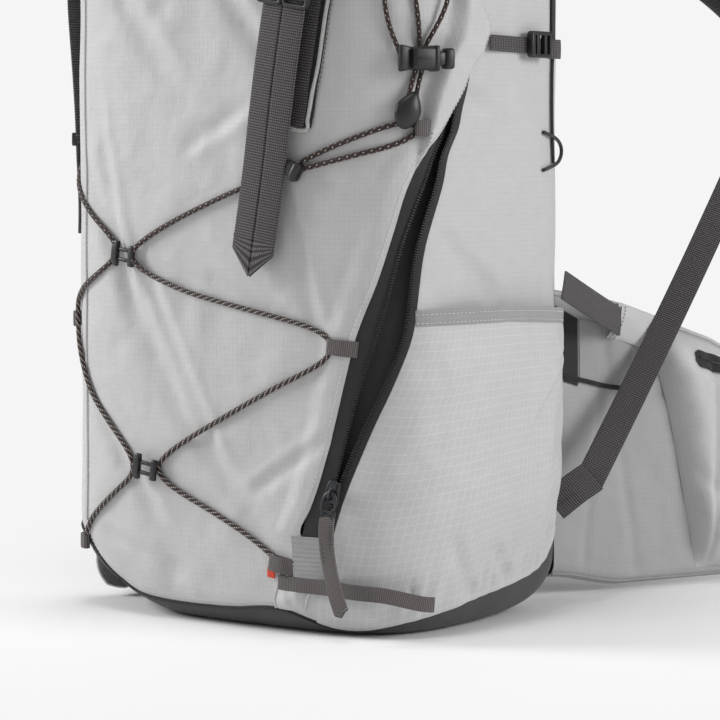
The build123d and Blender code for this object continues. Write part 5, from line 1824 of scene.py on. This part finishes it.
def hip_belt():
    for sign, side in ((1, "right"), (-1, "left")):
        body = f"belt_{side}"

        def centre(v):
            p, out = wing_at(v, sign)
            low, top = wing_heights(p.y)
            return Vector((p.x, p.y, (low + top) / 2)) - out * 1.5

        def height(v):
            low, top = wing_heights(wing_at(v, sign)[0].y)
            return top - low - 3
        pad(f"belt_pad_{side}", centre, height, lambda v: 9.5, lambda v: wing_at(v, sign)[1],
            lambda v: Vector((0, 0, 1)), 90, MESH, body, (f"belt_wing_{side}",), 70, 6,
            0.23)
        # The cover's darker cloth is painted shade.
        cloth(f"belt_cover_{side}", lambda u, v: cover_spot(BELT_ROOT + BELT_REACH * u, v, sign)[0], 120, 70,
              SHADED_BELT_CLOTH, lambda u, v: (u * 0.23, v * 0.19), 0.9, body=body, inside=(0, 200, 100))

        def share(y, z):
            low, top = wing_heights(y)
            return (z - low) / (top - low)

        def grey(u, v):
            y = 147 + 42 * u
            z = 146 - 5 * u + (44 - 6 * u) * v
            return cover_spot(y, share(y, z), sign, 0.9)[0]
        cloth(f"belt_grey_{side}", grey, 30, 30, PANEL_GREY, lambda u, v: (u * 0.05, v * 0.05), 0.8,
              body=body, inside=(0, 200, 100))

        def root(u, v):
            y = 127.5 + 18 * u
            z = 150 - 6 * u + (50 - 4 * u) * v
            return cover_spot(y, share(y, z), sign, 1.0)[0]
        cloth(f"belt_root_{side}", root, 14, 30, FOAM_EDGE, lambda u, v: (u * 0.02, v * 0.05), 0.8, body=body,
              inside=(0, 200, 100))
        way = []
        faces = []
        for y in steps(BELT_ROOT, 62, 30):
            z = 151 - 10 * smooth(y, 127, 185)
            p, out = cover_spot(y, share(y, z), sign, 1.3)
            way.append(p)
            faces.append(out)
        band(f"belt_seam_{side}", way, 3.2, 1.0, BINDING, faces, body)
        # The lower edge bead takes the darker grey cloth as painted shade along the wing's underside.
        for end, v, size, mat in (("b", 0.985, 1.5, SHELL), ("a", 0.015, 1.0, PANEL_GREY)):
            rim = [cover_spot(y, v, sign, 0.3)[0] * MM for y in steps(BELT_ROOT, BELT_REACH, 91)]
            tube(f"belt_edge_{side}_{end}", rim, size, mat, body, (), 8)
        belt_bag(sign, side, body)
        belt_tail(sign, side, body)
        stabilizer(sign, side, body)


def bag_face(u, v, sign):
    """Face of the belt pocket: leaning front edge, full middle, pinched along its seams."""
    start = 208 + 34 * (1 - v) - 8 * near(v, 1, 0.25)
    y = start + (298 - start) * u
    low, top = wing_heights(y)
    z = low + 8 + (top - low - 14) * v
    edge_u = min(u * 1.15, 1 - u)
    edge_v = min(v, 1 - v)
    full = (1 - (1 - min(edge_u / 0.3, 1)) ** 2.4) * (1 - (1 - min(edge_v / 0.2, 1)) ** 2.2)
    fold = 1.9 * noise.noise(Vector((u * 3.4, v * 4, 3 + sign))) * full
    fold -= 2.0 * near(u - 0.35 * v, 0.1, 0.035) * full + 1.6 * near(v + 0.4 * u, 0.45, 0.05) * full
    return wing_spot(y, z, 9.2 + 19 * full + fold, sign)


def belt_bag(sign, side, body):
    """Full zipped pocket on the wing."""
    cloth(f"belt_pocket_cloth_{side}", lambda u, v: bag_face(u, v, sign)[0], 80, 90, SHELL,
          lambda u, v: (u * 0.12, v * 0.17), 1.0, body=body, nodes=(f"belt_pocket_{side}",),
          inside=(0, 250, 90))
    way = []
    faces = []
    for i in range(31):
        u = 0.3 + 0.62 * i / 30
        p, out = bag_face(u, 0.905, sign)
        up = (bag_face(u, 0.95, sign)[0] - bag_face(u, 0.86, sign)[0]).normalized()
        q = (bag_face(u + 0.02, 0.905, sign)[0] - p).normalized()
        n = q.cross(up) * sign
        if n.dot(out) < 0:
            n = -n
        way.append(p + n * 0.8)
        faces.append(n)
    band(f"belt_zip_band_{side}", way, 13.5, 0.9, BINDING, faces, body)
    first = way[0]
    for k, size in enumerate((11.4, 8.0)):
        p = first - (way[1] - way[0]).normalized() * (1.4 + 1.6 * k)
        band(f"belt_zip_end_{side}_{k}", [p, p.lerp(way[1], 0.9)], size, 0.8, BINDING, [faces[0], faces[0]],
             body)
    tube(f"belt_zip_coil_{side}", [(p + n * 0.7) * MM for p, n in zip(way, faces)], 0.9, PLASTIC, body,
         (), 8)
    rim = [p + (bag_face(0.3 + 0.62 * i / 30, 0.97, sign)[0] - p).normalized() * 8.0 + faces[i] * 0.3
           for i, p in enumerate(way)]
    stitches(f"belt_zip_thread_{side}", rim, faces, 2.0, 0.9, THREAD, body)
    at = Vector((178.5 * sign, 261.1, 145.5))
    k = min(range(31), key=lambda i: (way[i] - at).length)
    run = (way[min(k + 1, 30)] - way[k - 1]).normalized()
    parts = [moulded_block((10, 7, 2.8), (0, 0, 1.2), 0.9), moulded_block((15, 4.2, 1.5), (-9, 0, 2.8), 0.6)]
    moulding(f"belt_slider_metal_{side}", parts, plane_frame(way[k] + faces[k] * 0.6, run, faces[k]),
             f"belt_slider_{side}", (f"belt_zip_slider_{side}",), METAL)


BELT_DROP = [(1.2, 92), (16, 84), (30, 60), (42, 30), (56, 10), (74, 3.4), (110, 3.4)]


def belt_tail(sign, side, body):
    """Belt webbing that drops from the wing's tip to the floor, with half of the buckle."""
    out = Vector((0.451 * sign, 0.892, 0))
    across = Vector((0.892, -0.451 * sign, 0))
    tip = Vector((178 * sign, 332, 0))
    way = curve_points([tip + out * (s - (14 if s < 2 else 0)) + Vector((0, 0, z)) for s, z in BELT_DROP], 8)
    faces = []
    for i in range(len(way)):
        run = (way[min(i + 1, len(way) - 1)] - way[max(i - 1, 0)]).normalized()
        faces.append(run.cross(across) * sign)
    band(f"belt_web_{side}", way, 25, 1.7, WEBBING, faces, body, (f"belt_webbing_{side}",))
    if sign > 0:
        parts = [moulded_block((34, 40, 11), (0, 0, 0), 3.2, 4),
                 moulded_block((38, 7, 12), (0, 15, 0), 2.2, 4),
                 moulded_block((20, 14, 1.6), (0, -5, 5.2), 0.6)]
        node = "belt_socket"
    else:
        parts = [moulded_block((34, 10, 10), (0, 14, 0), 2.6, 4),
                 moulded_block((7, 34, 4.4), (-11, -4, 0), 1.8, 3),
                 moulded_block((7, 34, 4.4), (11, -4, 0), 1.8, 3),
                 moulded_block((5, 28, 4), (0, -2, 0), 1.4, 3)]
        node = "belt_plug"
    centre = tip + out * (110 + 21.4) + Vector((0, 0, 6.4))
    moulding(node + "_moulding", parts, plane_frame(centre, -across, (0, 0, 1)), body,
             (node,))


def stabilizer(sign, side, body):
    """Webbing from the bag's back corner into its sleeve on the wing."""
    start = Vector((144.5 * sign, 80, 216))
    end = wing_spot(177, 187, 12.5, sign)[0]
    way = curve_points([start, start.lerp(end, 0.5) + Vector((3 * sign, 0, -2)), end], 8)
    band(f"stabilizer_web_{side}", way, 19.5, 1.5, WEBBING, [(sign, -0.1, 0.1)] * len(way), "pack",
         ("stabilizer_webbings",) if sign > 0 else ())

    def sleeve(u, v):
        y = 168 + 34 * u + 9 * v
        z = wing_heights(y)[1] - 1 - 26 * (1 - v)
        return wing_spot(y, z, 9.6 + 4.4 * math.sin(math.pi * v) ** 0.6 * (1 - 0.7 * u), sign)[0]
    cloth(f"belt_sleeve_{side}", sleeve, 26, 20, SHELL, lambda u, v: (u * 0.04, v * 0.03), 1.0, body=body,
          inside=(0, 200, 100))
    out = wing_spot(170, 180, 0, sign)[1]
    for k, u in enumerate((0.06, 0.16)):
        row = [sleeve(u, v / 10) + out * 0.6 for v in range(11)]
        stitches(f"belt_sleeve_thread_{side}_{k}", row, out, 1.8, 0.8, DARK_THREAD, body)


# ---- making everything ----
def main():
    set_scene()
    bag_walls()
    base_cloth()
    wall_seams()
    pocket("right")
    pocket("left")
    front_zip()
    zip_slider_metal()
    laces()
    lace_fittings()
    folded_tapes()
    cord_lock()
    front_strap()
    front_locks()
    front_anchor()
    side_straps()
    hanging_tails()
    corner_tabs()
    haul_handle()
    back_corner()
    front_foot_details()
    lid()
    shoulder_straps()
    back_padding()
    hip_belt()


main()
